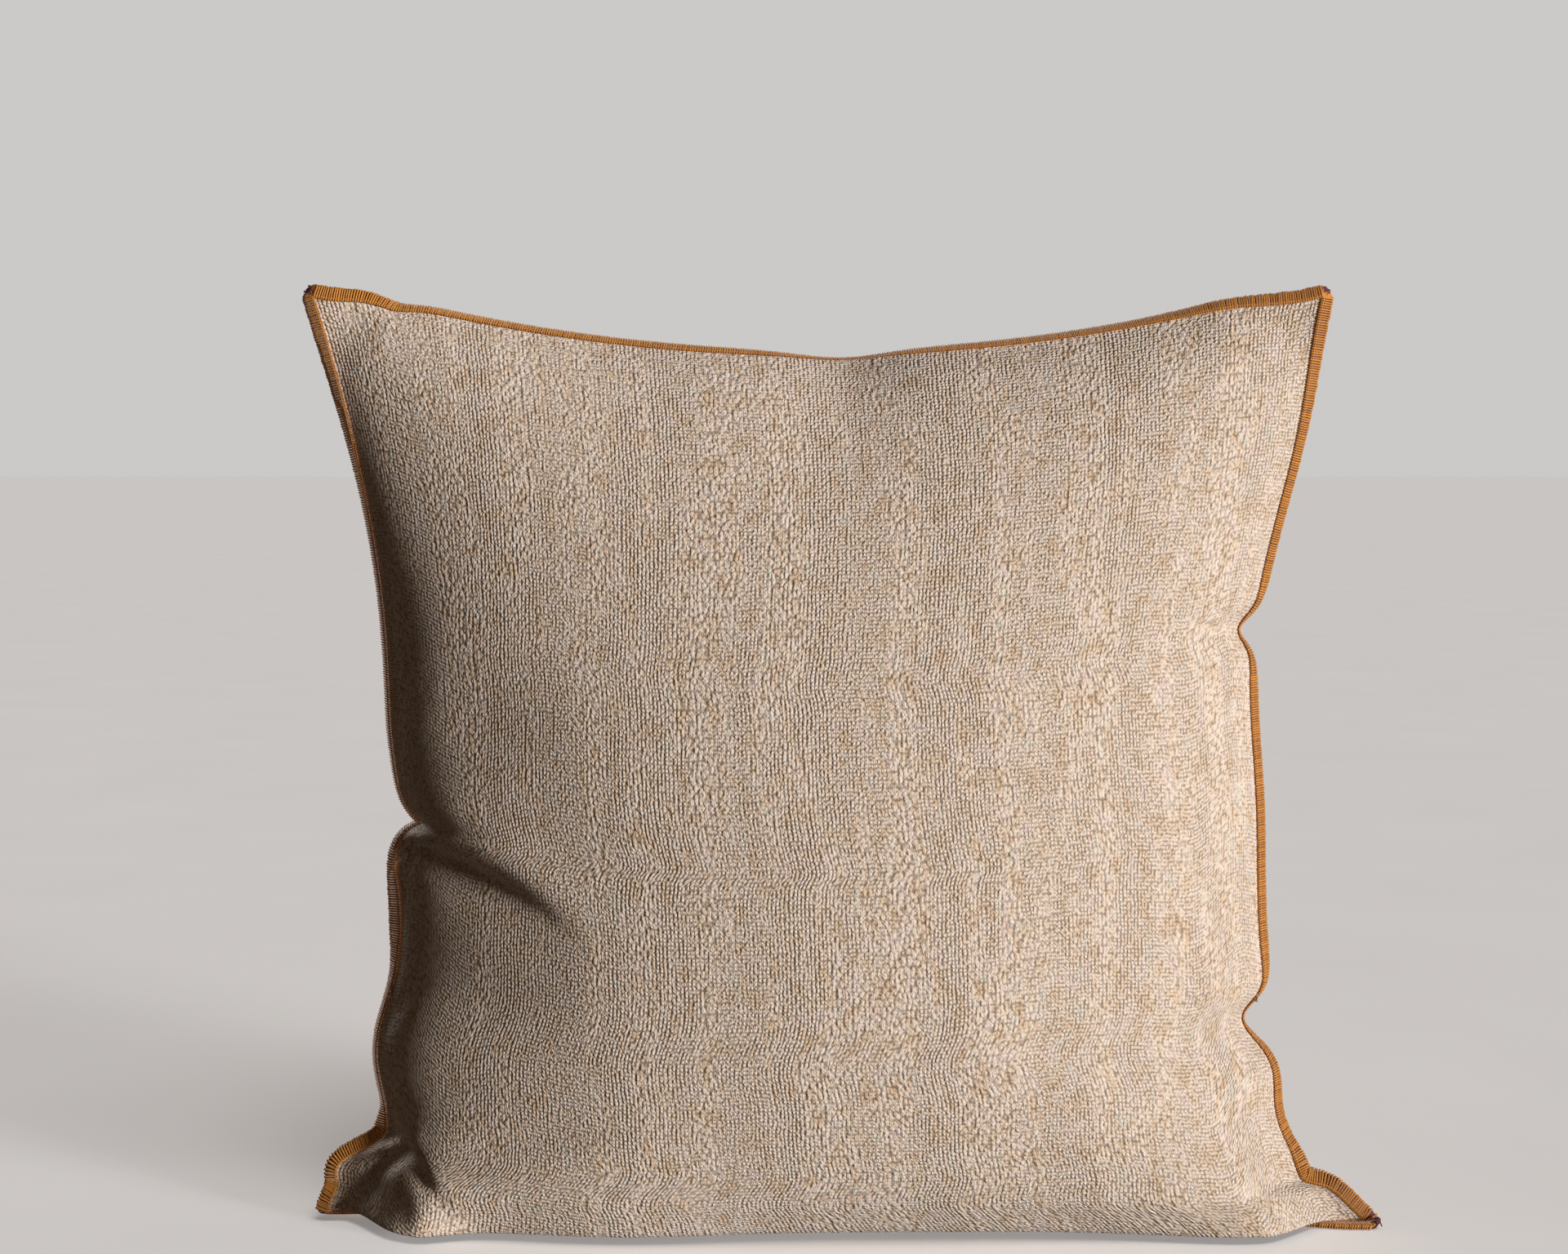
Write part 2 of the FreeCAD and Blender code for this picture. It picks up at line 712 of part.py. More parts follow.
def make_pull():
    """A flat tab with an eye; its end bar is the pin that turns under the slider's bridge."""
    height = size("zip_radius") + size("pin_height")
    body = new_body("zip_pull", on_track(size("slider_angle"), height))
    thick = cell("pull_thickness")
    tab = across_sketch(body, "tab_outline", "-%s / 2" % thick)
    side = "%s / 2" % cell("pull_width")
    rectangle(tab, "-" + cell("pull_length"), "-" + side, cell("pin_half"), side)
    eye = "%s / 2" % cell("pull_eye_width")
    rectangle(tab, "-" + cell("pull_eye_length"), "-" + eye, "-" + cell("pin_half"), eye)
    tab_pad = pad(body, tab, thick, "tab", reverse=True)
    document.recompute()
    corners = []
    for index, edge in enumerate(tab_pad.Shape.Edges, start=1):
        box = edge.BoundBox
        at_free_end = box.XMax < size("pull_thickness") / 2 - size("pull_length")
        if at_free_end and box.YLength > size("pull_thickness") / 2:
            corners.append("Edge%d" % index)
    rounded = body.newObject("PartDesign::Fillet", "tab_corners")
    rounded.Base = (tab_pad, corners)
    rounded.setExpression("Radius", cell("pull_corner"))


def make_zip():
    make_tape("zip_tape_upper", 1)
    make_tape("zip_tape_lower", -1)
    make_teeth("zip_teeth_upper", 1, 0)
    make_teeth("zip_teeth_lower", -1, size("tooth_angle") / 2)
    make_stop("zip_closed_stop_upper", size("stop_angle"), "upper")
    make_stop("zip_closed_stop_lower", size("stop_angle"), "lower")
    make_stop("zip_open_stop", -size("stop_angle"), "both")
    make_slider()
    make_pull()


# ---------------------------------------------------------------- insert


def zip_dent(wall):
    """The room that the zip takes out of the insert behind it, with a wall more all round."""
    return track_sector(
        size("zip_radius") - size("dent_depth") - wall,
        size("zip_radius") + FAR / 10,
        size("tape_inner_edge") + size("tape_width") + size("dent_margin") + wall,
        size("tape_half_angle") + size("dent_end_margin") * (1 + wall),
    )


def insert_places(wall):
    """The place of the insert's surface moved in by a wall."""
    gap = size("cloth") + size("insert_gap") + wall
    return gap, size("insert_edge_gap") + wall, gap, size("insert_edge_gap") / 2


def insert_half(side):
    """One half of the casing, dented by the zip if it is the back."""
    outside = half_form(side, *insert_places(0))
    inside = half_form(side, *insert_places(size("casing")))
    if side > 0:
        outside = outside.cut(zip_dent(0))
        inside = inside.cut(zip_dent(size("casing")))
    return outside.cut(inside)


def make_insert():
    feature("insert_casing_front", insert_half(-1))
    feature("insert_casing_back", insert_half(1))
    wall = size("casing") + size("filling_gap")
    form = whole_form(*insert_places(wall))
    feature("insert_filling", form.cut(zip_dent(wall)))


# ---------------------------------------------------------------- build and write


def check_document():
    document.recompute()
    for item in document.Objects:
        if "Invalid" in item.State or "Error" in item.State:
            raise RuntimeError("%s failed: %s" % (item.Name, item.State))
    for piece in pieces:
        if piece.Shape.isNull() or not piece.Shape.isValid() or not piece.Shape.Solids:
            raise RuntimeError("%s has no valid solid" % piece.Label)


def main():
    make_cover()
    for side in ("top", "left", "right"):
        make_overlock_edge(side)
    make_bottom_edge()
    make_corner_tacks()
    make_care_label()
    make_zip()
    make_insert()
    check_document()
    os.makedirs("parts", exist_ok=True)
    for piece in pieces:
        piece.Shape.exportStep("parts/%s.step" % piece.Label)


main()
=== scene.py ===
"""Throw pillow: a slubby linen cover with an overlocked edge, a hidden zip and a fibre insert.

Lengths are in millimetres and angles in degrees until a mesh is made, where they become metres.
"""

import math

import bpy
import numpy as np
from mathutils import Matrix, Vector


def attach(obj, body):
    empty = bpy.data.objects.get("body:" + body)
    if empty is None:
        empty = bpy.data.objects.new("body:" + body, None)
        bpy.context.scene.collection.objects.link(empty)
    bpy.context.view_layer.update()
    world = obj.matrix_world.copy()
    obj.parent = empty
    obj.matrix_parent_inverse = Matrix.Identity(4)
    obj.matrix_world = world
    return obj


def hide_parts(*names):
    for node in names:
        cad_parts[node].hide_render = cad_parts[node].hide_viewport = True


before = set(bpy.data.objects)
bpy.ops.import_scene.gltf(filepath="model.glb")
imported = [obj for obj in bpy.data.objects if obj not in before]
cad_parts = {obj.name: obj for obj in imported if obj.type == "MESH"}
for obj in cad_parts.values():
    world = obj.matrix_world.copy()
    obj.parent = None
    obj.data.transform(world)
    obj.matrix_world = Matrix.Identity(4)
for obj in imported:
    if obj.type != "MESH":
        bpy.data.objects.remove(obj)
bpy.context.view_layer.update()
rng = np.random.default_rng(7)

# The cover's driving sizes, as in the CAD
HALF_BOTTOM = 248.0
HALF_TOP = 243.0
SEAM_RISE = 450.0
SIDE_PULL_IN = 39.5
TOP_PULL_IN = 35.5
SEAM_LEAN = math.radians(4.0)
SEAM_FLOOR_GAP = 1.5
SEAM_FRONT_OFFSET = 25.0
FRONT_CROWN = 73.0
BACK_CROWN = 68.0
SAG_SHARE = 0.25
EDGE_SHARE = 0.15
BASE_DEPTH = 49.0
BASE_SHARPNESS = 6
GRID = 17

# The cloth over the zip is an arc about an axis that leans back with the cover. The slot over the zip is open
# as far as the end stops, and closed from a little past them.
ZIP_SURFACE_RADIUS = 490.0
ZIP_AXIS_HEIGHT = 139.134
ZIP_AXIS_LEAN = 0.063538
SLOT_HALF_HEIGHT = 5.2
SLOT_OPEN_TO = 152.5
SLOT_CLOSED_FROM = 155.5
BACK_SEAM_HALF_GAP = 0.05

# The overlocked flange
FLANGE = 5.6
CLOTH_HALF = 0.7
STITCH_PITCH = 1.2
THREAD_RADIUS = 0.47
STITCH_REACH = 6.0
# One stitch's path round the flange, from its inner end on the front to its inner end on the back:
# how far out of the seam, and how high over the flange's middle
STITCH_SECTION = [
    (-0.5, 0.55), (0.2, 1.0), (2.0, 1.05), (4.0, 1.05), (5.4, 0.98), (6.05, 0.55),
    (6.2, 0.0), (6.05, -0.55), (5.4, -0.98), (3.0, -1.05), (0.2, -1.0), (-0.5, -0.55),
]
CORE_SECTION = [(0.1, 0.75), (3.0, 0.85), (5.5, 0.8), (5.9, 0.0), (5.5, -0.8), (3.0, -0.85), (0.1, -0.75)]

# The least height over the floor of the middle of each kind of piece
CLOTH_CLEARANCE = 0.3
CORE_CLEARANCE = 0.4
THREAD_CLEARANCE = 0.5
TAIL_CLEARANCE = 0.6
TACK_CLEARANCE = 0.15

# How many points the panels have each way. The front has FRONT_FOOT_ROWS of its rows in its lowest
# FRONT_FOOT share, where it rolls over its bottom edge.
COLUMNS = 220
ROWS = 210
FRONT_FOOT = 0.03
FRONT_FOOT_ROWS = 15
BACK_COLUMNS = 180
BACK_ROWS = 260
CUSHION_POINTS = 70

# The cloth that settles under the filling's pressure: points each way, steps, and the furthest it may move.
# The back's cut is shorter than the front's by the base.
SETTLING_POINTS = 84
SETTLING_STEPS = 20
SETTLING_LIMIT = 6.0
FRONT_CUT = (488, 488)
BACK_CUT = (488, 455)

# The camera, in metres, with its lens in millimetres and its downward pitch in degrees
CAMERA_PLACE = (-0.0165, -1.216, 0.370)
CAMERA_LENS = 57.1
CAMERA_PITCH = 3.81

FORWARD = np.array([0.0, -math.cos(SEAM_LEAN), math.sin(SEAM_LEAN)])


# ---------------------------------------------------------------- the cover's form


def eased(angle):
    """From -1 to 1 over half a turn, nearly as a sine, but steeper at its ends."""
    return (1 - EDGE_SHARE) * np.sin(angle) + EDGE_SHARE * angle / (math.pi / 2)


def control_points(side, floor, inset, loss):
    """The 17 x 17 poles of one half, side -1 the front and +1 the back, as the CAD places them."""
    angles = math.pi * (np.arange(GRID) / (GRID - 1) - 0.5)
    across, up = np.meshgrid(angles, angles, indexing="ij")
    height = (1 + eased(up)) / 2
    top = SEAM_RISE - TOP_PULL_IN * (1 - eased(across) ** 2) - inset
    rise = floor + (top - floor) * height
    half = HALF_BOTTOM * (1 - height) + HALF_TOP * height
    half -= SIDE_PULL_IN * (1 - eased(up) ** 2) + inset
    bulge = np.cos(across) * np.cos(up) * (1 - SAG_SHARE * np.sin(up))
    crown = FRONT_CROWN if side < 0 else BACK_CROWN
    depth = side * (crown - loss) * bulge
    if side > 0:
        depth += (BASE_DEPTH - loss) * np.cos(across) * (1 - height) ** BASE_SHARPNESS
    return np.stack([half * eased(across), seam_plane(rise) + depth, rise], axis=-1)


def seam_plane(rise):
    """The seam's own plane leans back from the base's front edge."""
    return rise * math.tan(SEAM_LEAN) - SEAM_FRONT_OFFSET


def spline_weights(places, poles):
    """The cubic B-spline's basis on a clamped, even knot row: one row for each place from 0 to 1."""
    spans = poles - 3
    knots = np.concatenate([[0] * 3, np.arange(spans + 1), [spans] * 3]).astype(float)
    at = np.clip(np.asarray(places) * spans, 0, spans - 1e-9)[:, None]
    basis = ((knots[:-1] <= at) & (at < knots[1:])).astype(float)
    for degree in (1, 2, 3):
        count = len(knots) - degree - 1
        run = np.maximum(knots[degree : degree + count] - knots[:count], 1e-9)
        next_run = np.maximum(knots[degree + 1 :] - knots[1 : count + 1], 1e-9)
        left = (at - knots[:count]) / run * basis[:, :-1]
        right = (knots[degree + 1 :] - at) / next_run * basis[:, 1:]
        basis = left + right
    return basis


def smooth_between(poles, across, up):
    """The spline surface over a grid of poles, at places from 0 to 1 along its two ways."""
    first = spline_weights(across, poles.shape[0])
    second = spline_weights(up, poles.shape[1])
    return np.einsum("ia,jb,abk->ijk", first, second, poles)


def bump(at, centre, before, after):
    """A smooth bump of height 1, `before` wide on its low side and `after` wide on its high side."""
    width = np.where(at < centre, before, after)
    return np.exp(-(((at - centre) / width) ** 2))


def pinch(at, centre, before, after):
    """As bump, with the sharp peak of a seam that is nipped in."""
    width = np.where(at < centre, before, after)
    return np.exp(-np.abs(at - centre) / width)


def ramp(at, low, high):
    """0 below `low` and 1 above `high`, with a smooth rise between."""
    share = np.clip((at - low) / (high - low), 0, 1)
    return share * share * (3 - 2 * share)


def seam_shift(point):
    """How the seam's kinks and pulls move the cover from its even form, front and back alike."""
    x, z = point[..., 0], point[..., 2]
    half = HALF_BOTTOM + (HALF_TOP - HALF_BOTTOM) * z / SEAM_RISE
    fading = 45.0
    near_left = np.exp(-np.maximum(x + half, 0) / fading)
    near_right = np.exp(-np.maximum(half - x, 0) / fading)
    # the left seam is nipped at z 194, pulled in down to the corner's flap, and full above
    left = 34 * pinch(z, 194, 6, 12) + 20 * bump(z, 125, 34, 36) + 6 * bump(z, 158, 24, 20)
    left += 31 * ramp(z, 20, 43) * bump(z, 43, 60, 40) + 8 * bump(z, 18, 9, 8) + 9 * bump(z, 0, 12, 12)
    left -= 5 * bump(z, 370, 80, 110) + 4 * bump(z, 245, 22, 60)
    # the right seam has kinks at z 288 and 98, full stretches above each, and a corner that reaches out
    right = 16 * bump(z, 288, 9, 9) + 24 * bump(z, 98, 15, 12) + 12 * bump(z, 52, 25, 25)
    right += 3 * bump(z, 23, 5, 9) - 18 * (1 - ramp(z, 3, 22))
    right -= 17 * bump(z, 368, 80, 64) + 16 * bump(z, 205, 60, 58)
    # the top seam has a dip near its middle and a small step near the left corner
    top = SEAM_RISE - TOP_PULL_IN * (1 - (x / HALF_TOP) ** 2)
    near_top = np.exp(-np.maximum(top - z, 0) / fading)
    lift = 6.3 * ramp(-np.abs(x), -242, -190) - 2 * bump(x, 12, 26, 24)
    lift += 1.6 * bump(x, -222, 14, 10) - 1.8 * bump(x, -203, 8, 12)
    back = 7 * pinch(z, 194, 9, 18) + 9 * bump(z, 52, 20, 26)
    shift = np.zeros_like(point)
    shift[..., 0] = left * near_left - right * near_right
    shift[..., 1] = back * near_left
    shift[..., 1] += (8 * bump(z, 288, 16, 14) + 9 * bump(z, 98, 18, 16)) * near_right
    shift[..., 1] += 5 * bump(x, 12, 30, 26) * near_top
    shift[..., 1] -= 9 * np.exp(-z / 20) * ramp(x, 205, 245)
    shift[..., 2] = lift * near_top + 4.0 * ramp(-x, 190, 226) * np.exp(-z / 15)
    shift[..., 2] += 3 * bump(z, 27, 11, 12) * near_left + 6 * bump(z, 14, 6, 6) * near_right
    return shift


def swell(point, front):
    """0 at the unfilled tips of the corners, and 1 where the filling swells the cloth."""
    x, z = point[..., 0], point[..., 2]
    share = ramp(np.hypot(HALF_TOP - np.abs(x), SEAM_RISE - z), 12, 44)
    if front:
        share = share * ramp(np.hypot(x + HALF_BOTTOM, 1.1 * z), 34, 60)
        return share * ramp(np.hypot(HALF_BOTTOM - x, 1.2 * z), 18, 56)
    return share * ramp(np.hypot(HALF_BOTTOM - np.abs(x), z), 16, 62)


def front_folds(point):
    """The front's crease from the nipped seam, the corner's fold and the soft hollows, in forward mm."""
    x, z = point[..., 0], point[..., 2]
    # the crease runs inwards and down from the nip, sharp on its upper side
    along = np.clip((x + 212) / 90, 0, 1.2)
    above = z - (183.5 - 30 * along**2)
    fade = 1 - ramp(x, -178, -104)
    sharp, broad = 3.0 + 4 * along, 13 + 16 * along
    depth = -13 * fade * np.where(above > 0, np.exp(-((above / sharp) ** 2)), np.exp(above / broad))
    depth += 4 * fade * bump(above, 14 + 6 * along, 8, 20)
    # the fold over the lower left corner's flap
    over = 0.69 * (x + 196) + 0.72 * (z - 36)
    down = 0.72 * (x + 196) - 0.69 * (z - 36)
    valley = np.where(over > 0, np.exp(-((over / 4) ** 2)), np.exp(over / 14))
    depth -= 7 * valley * bump(down, 0, 22, 18)
    # a soft hollow above the crease and one below it
    depth -= 3.5 * np.exp(-(((x + 160) / 34) ** 2) - (((z - 245) / 26) ** 2))
    depth -= 4.0 * np.exp(-(((x + 165) / 40) ** 2) - (((z - 118) / 20) ** 2))
    return depth


def floor_roll(point, up):
    """The front swells out over its bottom edge and lies on the floor there, as forward and up mm."""
    x, z = point[..., 0], point[..., 2]
    inside = ramp(-np.abs(x), -243, -204)
    lobes = 26 + 11 * bump(x, -95, 60, 60) + 15 * bump(x, -196, 36, 24) + 17 * bump(x, 208, 60, 40)
    forward = lobes * (1 - np.exp(-up / 0.004)) * np.exp(-z / 30) * inside
    lift = 2.4 * np.exp(-(((up - 0.0035) / 0.003) ** 2)) * inside
    lift = lift - 0.62 * (z - 1.2) * np.exp(-z / 10) * ramp(up, 0.004, 0.01)
    return forward, lift


def half_surface(side, across, up, floor=0.0, inset=0.0, loss=0.0, folded=True):
    """One half of the cover's form, or of the insert's inside it, with its blunter corners."""
    poles = control_points(side, floor, inset, loss)
    point = smooth_between(poles, across, up)
    if inset > 0:
        blunt = 36 * np.abs((2 * across - 1)[:, None] * (2 * up - 1)[None]) ** 3
        point[..., 0] -= blunt * np.sign(2 * across - 1)[:, None]
        point[..., 2] -= blunt * np.sign(2 * up - 1)[None]
    middle = seam_plane(point[..., 2])
    shift = seam_shift(point)
    depth = (point[..., 1] - middle) * swell(point, side < 0)
    lift = 0
    if side < 0:
        forward, lift = floor_roll(point, up[None])
        depth -= folded * np.maximum(front_folds(point + shift), 0.65 * depth) + forward
    shifted = point + shift
    shifted[..., 1] += middle + depth - point[..., 1]
    shifted[..., 2] += lift
    return shifted


# ---------------------------------------------------------------- meshes


def as_piece(name, points, faces, material, uv=None):
    """A mesh object from points in mm; uv is one pair for each point, in metres of cloth."""
    mesh = bpy.data.meshes.new(name)
    mesh.from_pydata((np.asarray(points) / 1000).tolist(), [], np.asarray(faces).tolist())
    mesh.shade_smooth()
    if uv is not None:
        corners = np.empty(len(mesh.loops), dtype=np.int32)
        mesh.loops.foreach_get("vertex_index", corners)
        layer = mesh.uv_layers.new(name="cut")
        layer.uv.foreach_set("vector", np.asarray(uv)[corners].astype(np.float32).ravel())
    mesh.materials.append(material)
    return placed(bpy.data.objects.new(name, mesh))


def placed(thing):
    bpy.context.scene.collection.objects.link(thing)
    return thing


def raised(points, clearance):
    """Keeps points at least so high over the floor."""
    points[..., 2] = np.maximum(points[..., 2], clearance)


def grid_faces(columns, rows, flip=False):
    """Four-sided faces between the points of a grid, column by column."""
    first = np.arange(columns - 1)[:, None] * rows + np.arange(rows - 1)[None]
    quads = np.stack([first, first + rows, first + rows + 1, first + 1], axis=-1).reshape(-1, 4)
    return quads[:, ::-1] if flip else quads


def cut_places(grid):
    """Where each point of a grid lies on the flat cloth, from the lengths along its columns and rows."""
    places = np.zeros(grid.shape[:2] + (2,))
    for axis in (0, 1):
        steps = np.linalg.norm(np.diff(grid, axis=axis), axis=-1)
        run = np.cumsum(np.insert(steps, 0, 0, axis=axis), axis=axis)
        total = np.take(run, [-1], axis=axis)
        places[..., axis] = (run / total - 0.5) * total.mean() / 1000
    return places


def grid_piece(name, grid, material, flip=False):
    """A piece from a grid of points, each with its place on the flat cloth."""
    faces = grid_faces(*grid.shape[:2], flip=flip)
    return as_piece(name, grid.reshape(-1, 3), faces, material, cut_places(grid).reshape(-1, 2))


def unit(vectors):
    return vectors / np.linalg.norm(vectors, axis=-1, keepdims=True)


# ---------------------------------------------------------------- the seam and its flange


def side_tilt(z, sign):
    """How far the flange leans back, along the left (-1) or right (+1) side."""
    if sign < 0:
        tilt = 62 - 42 * bump(z, 440, 60, 60) - 40 * bump(z, 148, 22, 34)
        tilt += 20 * pinch(z, 194, 10, 20) - 52 * (1 - ramp(z, 40, 58))
    else:
        tilt = 46 - 22 * bump(z, 440, 50, 50) - 40 * (1 - ramp(z, 20, 42))
        tilt += 32 * bump(z, 288, 16, 16) + 36 * bump(z, 98, 20, 20)
    return np.radians(np.clip(tilt, 0, 84))


def top_tilt(x):
    """How far the flange leans back along the top."""
    tilt = 58 - 50 * bump(x, -243, 40, 32) - 40 * bump(x, 243, 60, 60) + 22 * bump(x, 12, 40, 34)
    return np.radians(tilt)


def flange_frame(edge, line):
    """The directions out of the seam and up from the flange's front face, along one edge."""
    if edge == "bottom":
        dip = np.radians(165) * ramp(-line[:, 0], 186, 222)
        out = np.stack([0 * dip, -np.cos(dip), -np.sin(dip)], axis=-1)
        face = np.stack([0 * dip, -np.sin(dip), np.cos(dip)], axis=-1)
        return out, face
    tangent = unit(np.gradient(line, axis=0))
    plain = unit(np.cross(tangent, FORWARD)) * (1 if edge == "right" else -1)
    if edge == "top":
        tilt = top_tilt(line[:, 0])
    else:
        tilt = side_tilt(line[:, 2], -1 if edge == "left" else 1)
    tilt = tilt[:, None]
    out = np.cos(tilt) * plain - np.sin(tilt) * FORWARD
    face = np.cos(tilt) * FORWARD + np.sin(tilt) * plain
    return out, face


def seam_line(edge, places):
    """The seam along one edge, at places from 0 to 1."""
    ends = {
        "left": ([0.0], places),
        "right": ([1.0], places),
        "bottom": (places, [0.0]),
        "top": (places, [1.0]),
    }
    across, up = (np.asarray(part) for part in ends[edge])
    return half_surface(-1, across, up, floor=SEAM_FLOOR_GAP).reshape(-1, 3)


def even_seam(edge, step):
    """The seam's points at an even step along its length."""
    line = seam_line(edge, np.linspace(0, 1, 1500))
    run = np.insert(np.cumsum(np.linalg.norm(np.diff(line, axis=0), axis=-1)), 0, 0)
    count = int(round(run[-1] / step))
    at = np.linspace(0, run[-1], count + 1)
    return np.stack([np.interp(at, run, line[:, k]) for k in range(3)], axis=-1)


def with_flange(grid, face_side, edges):
    """Adds the flat seam allowance round a panel's grid."""
    reach = np.array([0.35, 0.7, 1.0]) * FLANGE
    frames = {
        "left": flange_frame("left", grid[0]),
        "right": flange_frame("right", grid[-1]),
        "bottom": flange_frame("bottom", grid[:, 0]),
        "top": flange_frame("top", grid[:, -1]),
    }
    columns, rows = grid.shape[:2]
    below = len(reach) if "bottom" in edges else 0
    above = len(reach) if "top" in edges else 0
    beside = len(reach)
    whole = np.zeros((columns + 2 * beside, rows + below + above, 3))
    x_steps = np.concatenate([reach[::-1], np.zeros(columns), reach])
    z_steps = np.concatenate([reach[::-1][:below], np.zeros(rows), reach[:above]])
    levels = (("bottom", np.arange(below)), ("top", np.arange(rows + below, whole.shape[1])))
    for i in range(whole.shape[0]):
        column = min(max(i - beside, 0), columns - 1)
        side = "left" if i < columns / 2 else "right"
        out, face = frames[side]
        inner_rows = np.clip(np.arange(whole.shape[1]) - below, 0, rows - 1)
        rounding = np.maximum(x_steps[i], z_steps) / np.maximum(np.hypot(x_steps[i], z_steps), 1e-9)
        point = grid[column, inner_rows] + out[inner_rows] * (x_steps[i] * rounding)[:, None]
        for level, chosen in levels:
            if len(chosen):
                point[chosen] += frames[level][0][column] * (z_steps * rounding)[chosen][:, None]
                point[chosen] += frames[level][1][column] * (-face_side * CLOTH_HALF)
        if x_steps[i] > 0:
            kept = (z_steps == 0)[:, None]
            point += face[inner_rows] * (-face_side * CLOTH_HALF) * kept
        whole[i] = point
    return whole


# ---------------------------------------------------------------- the cloth under the filling's pressure


def flat_cut(grid, width, height):
    """The panel's points on its flat cut: half at their own lengths along it, and half evenly spread."""
    columns, rows = grid.shape[:2]
    across, up = np.meshgrid(np.linspace(-0.5, 0.5, columns), np.linspace(-0.5, 0.5, rows), indexing="ij")
    lengths = cut_places(grid)
    lengths[..., 0] *= width / np.ptp(lengths[:, rows // 2, 0]) / 1000
    lengths[..., 1] *= height / np.ptp(lengths[columns // 2, :, 1]) / 1000
    flat = np.zeros((columns, rows, 3))
    flat[..., 0] = 0.5 * lengths[..., 0] + 0.5 * np.interp(across, across[:, 0], lengths[:, rows // 2, 0])
    flat[..., 2] = 0.5 * lengths[..., 1] + 0.5 * np.interp(up, up[0], lengths[columns // 2, :, 1])
    return flat


def settled(side, grid, cut_size):
    """How the filling's pressure moves a panel that is held at its seam, no further than SETTLING_LIMIT."""
    columns, rows = grid.shape[:2]
    mesh = bpy.data.meshes.new("settling")
    faces = grid_faces(columns, rows, flip=side > 0)
    mesh.from_pydata((grid.reshape(-1, 3) / 1000).tolist(), [], faces.tolist())
    cloth = placed(bpy.data.objects.new("settling", mesh))
    cloth.shape_key_add(name="hung")
    cut = cloth.shape_key_add(name="cut")
    cut.data.foreach_set("co", flat_cut(grid, *cut_size).astype(np.float32).ravel())
    held = np.zeros((columns, rows), dtype=bool)
    held[[0, -1]] = True
    held[:, [0, -1]] = True
    group = cloth.vertex_groups.new(name="seam")
    group.add(np.flatnonzero(held).tolist(), 1.0, "REPLACE")
    modifier = cloth.modifiers.new("Cloth", "CLOTH")
    settings = modifier.settings
    settings.quality = 8
    settings.mass = 0.25
    settings.tension_stiffness = 25
    settings.compression_stiffness = 25
    settings.bending_stiffness = 0.6
    settings.vertex_group_mass = "seam"
    settings.rest_shape_key = cut
    settings.use_pressure = True
    settings.uniform_pressure_force = 4
    settings.effector_weights.gravity = 0
    modifier.point_cache.frame_end = SETTLING_STEPS
    scene = bpy.context.scene
    for step in range(1, SETTLING_STEPS + 1):
        scene.frame_set(step)
    settled_mesh = cloth.evaluated_get(bpy.context.evaluated_depsgraph_get()).data
    after = np.empty(columns * rows * 3, dtype=np.float32)
    settled_mesh.vertices.foreach_get("co", after)
    moved = after.reshape(grid.shape).astype(float) * 1000 - grid
    bpy.data.objects.remove(cloth)
    scene.frame_set(1)
    length = np.linalg.norm(moved, axis=-1, keepdims=True)
    return moved * SETTLING_LIMIT * np.tanh(length / SETTLING_LIMIT) / np.maximum(length, 1e-6)


# ---------------------------------------------------------------- the cover's panels


def make_front_panel(material):
    across = np.linspace(0, 1, COLUMNS)
    foot = np.linspace(0, FRONT_FOOT, FRONT_FOOT_ROWS + 1)[:-1]
    up = np.concatenate([foot, np.linspace(FRONT_FOOT, 1, ROWS - FRONT_FOOT_ROWS)])
    grid = half_surface(-1, across, up, floor=SEAM_FLOOR_GAP)
    coarse = np.linspace(0, 1, SETTLING_POINTS)
    hung = half_surface(-1, coarse, coarse, floor=SEAM_FLOOR_GAP, folded=False)
    moved = smooth_between(settled(-1, hung, FRONT_CUT), across, up)
    grid += moved * ramp(grid[..., 2:], 4, 22)
    grid = with_flange(grid, -1, ("bottom", "top"))
    raised(grid, CLOTH_CLEARANCE)
    piece = grid_piece("cover_front", grid, material)
    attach(piece, "cover")
    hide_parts("front_panel")


def zip_line(x):
    """The height of the zip's middle at a distance from the cover's middle."""
    across = np.minimum(np.abs(x), 300)
    return ZIP_AXIS_HEIGHT - ZIP_AXIS_LEAN * np.sqrt(ZIP_SURFACE_RADIUS**2 - across**2)


def along_column(column, start, end, count):
    """A column's points between two heights, which may differ from column to column."""
    order = np.argsort(column[:, 2])
    heights = np.linspace(start, end, count)
    return np.stack([np.interp(heights, column[order, 2], column[order, k]) for k in range(3)], -1)


def back_grid():
    """The whole back, settled except where the zip holds it and at the floor."""
    across = np.linspace(0, 1, BACK_COLUMNS)
    up = np.linspace(0, 1, BACK_ROWS)
    grid = half_surface(1, across, up)
    coarse = np.linspace(0, 1, SETTLING_POINTS)
    moved = smooth_between(settled(1, half_surface(1, coarse, coarse), BACK_CUT), across, up)
    away = 1 - bump(grid[..., 2:], 108, 28, 28)
    return grid + moved * away * ramp(grid[..., 2:], 4, 30)


def hem(edge_row, inward, sign):
    """A folded edge beside the zip: it turns in over a small radius and runs back under the panel.

    The lower panel's hem then goes round the zip's tape and up behind it, so that the insert stays hidden.
    """
    turn = [(0.0, 0.5), (-0.2, 1.0), (-0.9, 1.5), (-5.0, 1.5)]
    rows = [edge_row + sign * np.array([0, 0, along]) - inward * depth for along, depth in turn]
    if sign > 0:
        behind = ramp(-np.abs(edge_row[:, :1]), -185, -165)
        for along, depth in [(-5.0, 0.0), (-5.4, 2.5), (-5.0, 4.8), (17.0, 4.8)]:
            rows.append(rows[3] + behind * (np.array([0, 0, along]) - inward * depth))
    return np.stack(rows, axis=1)


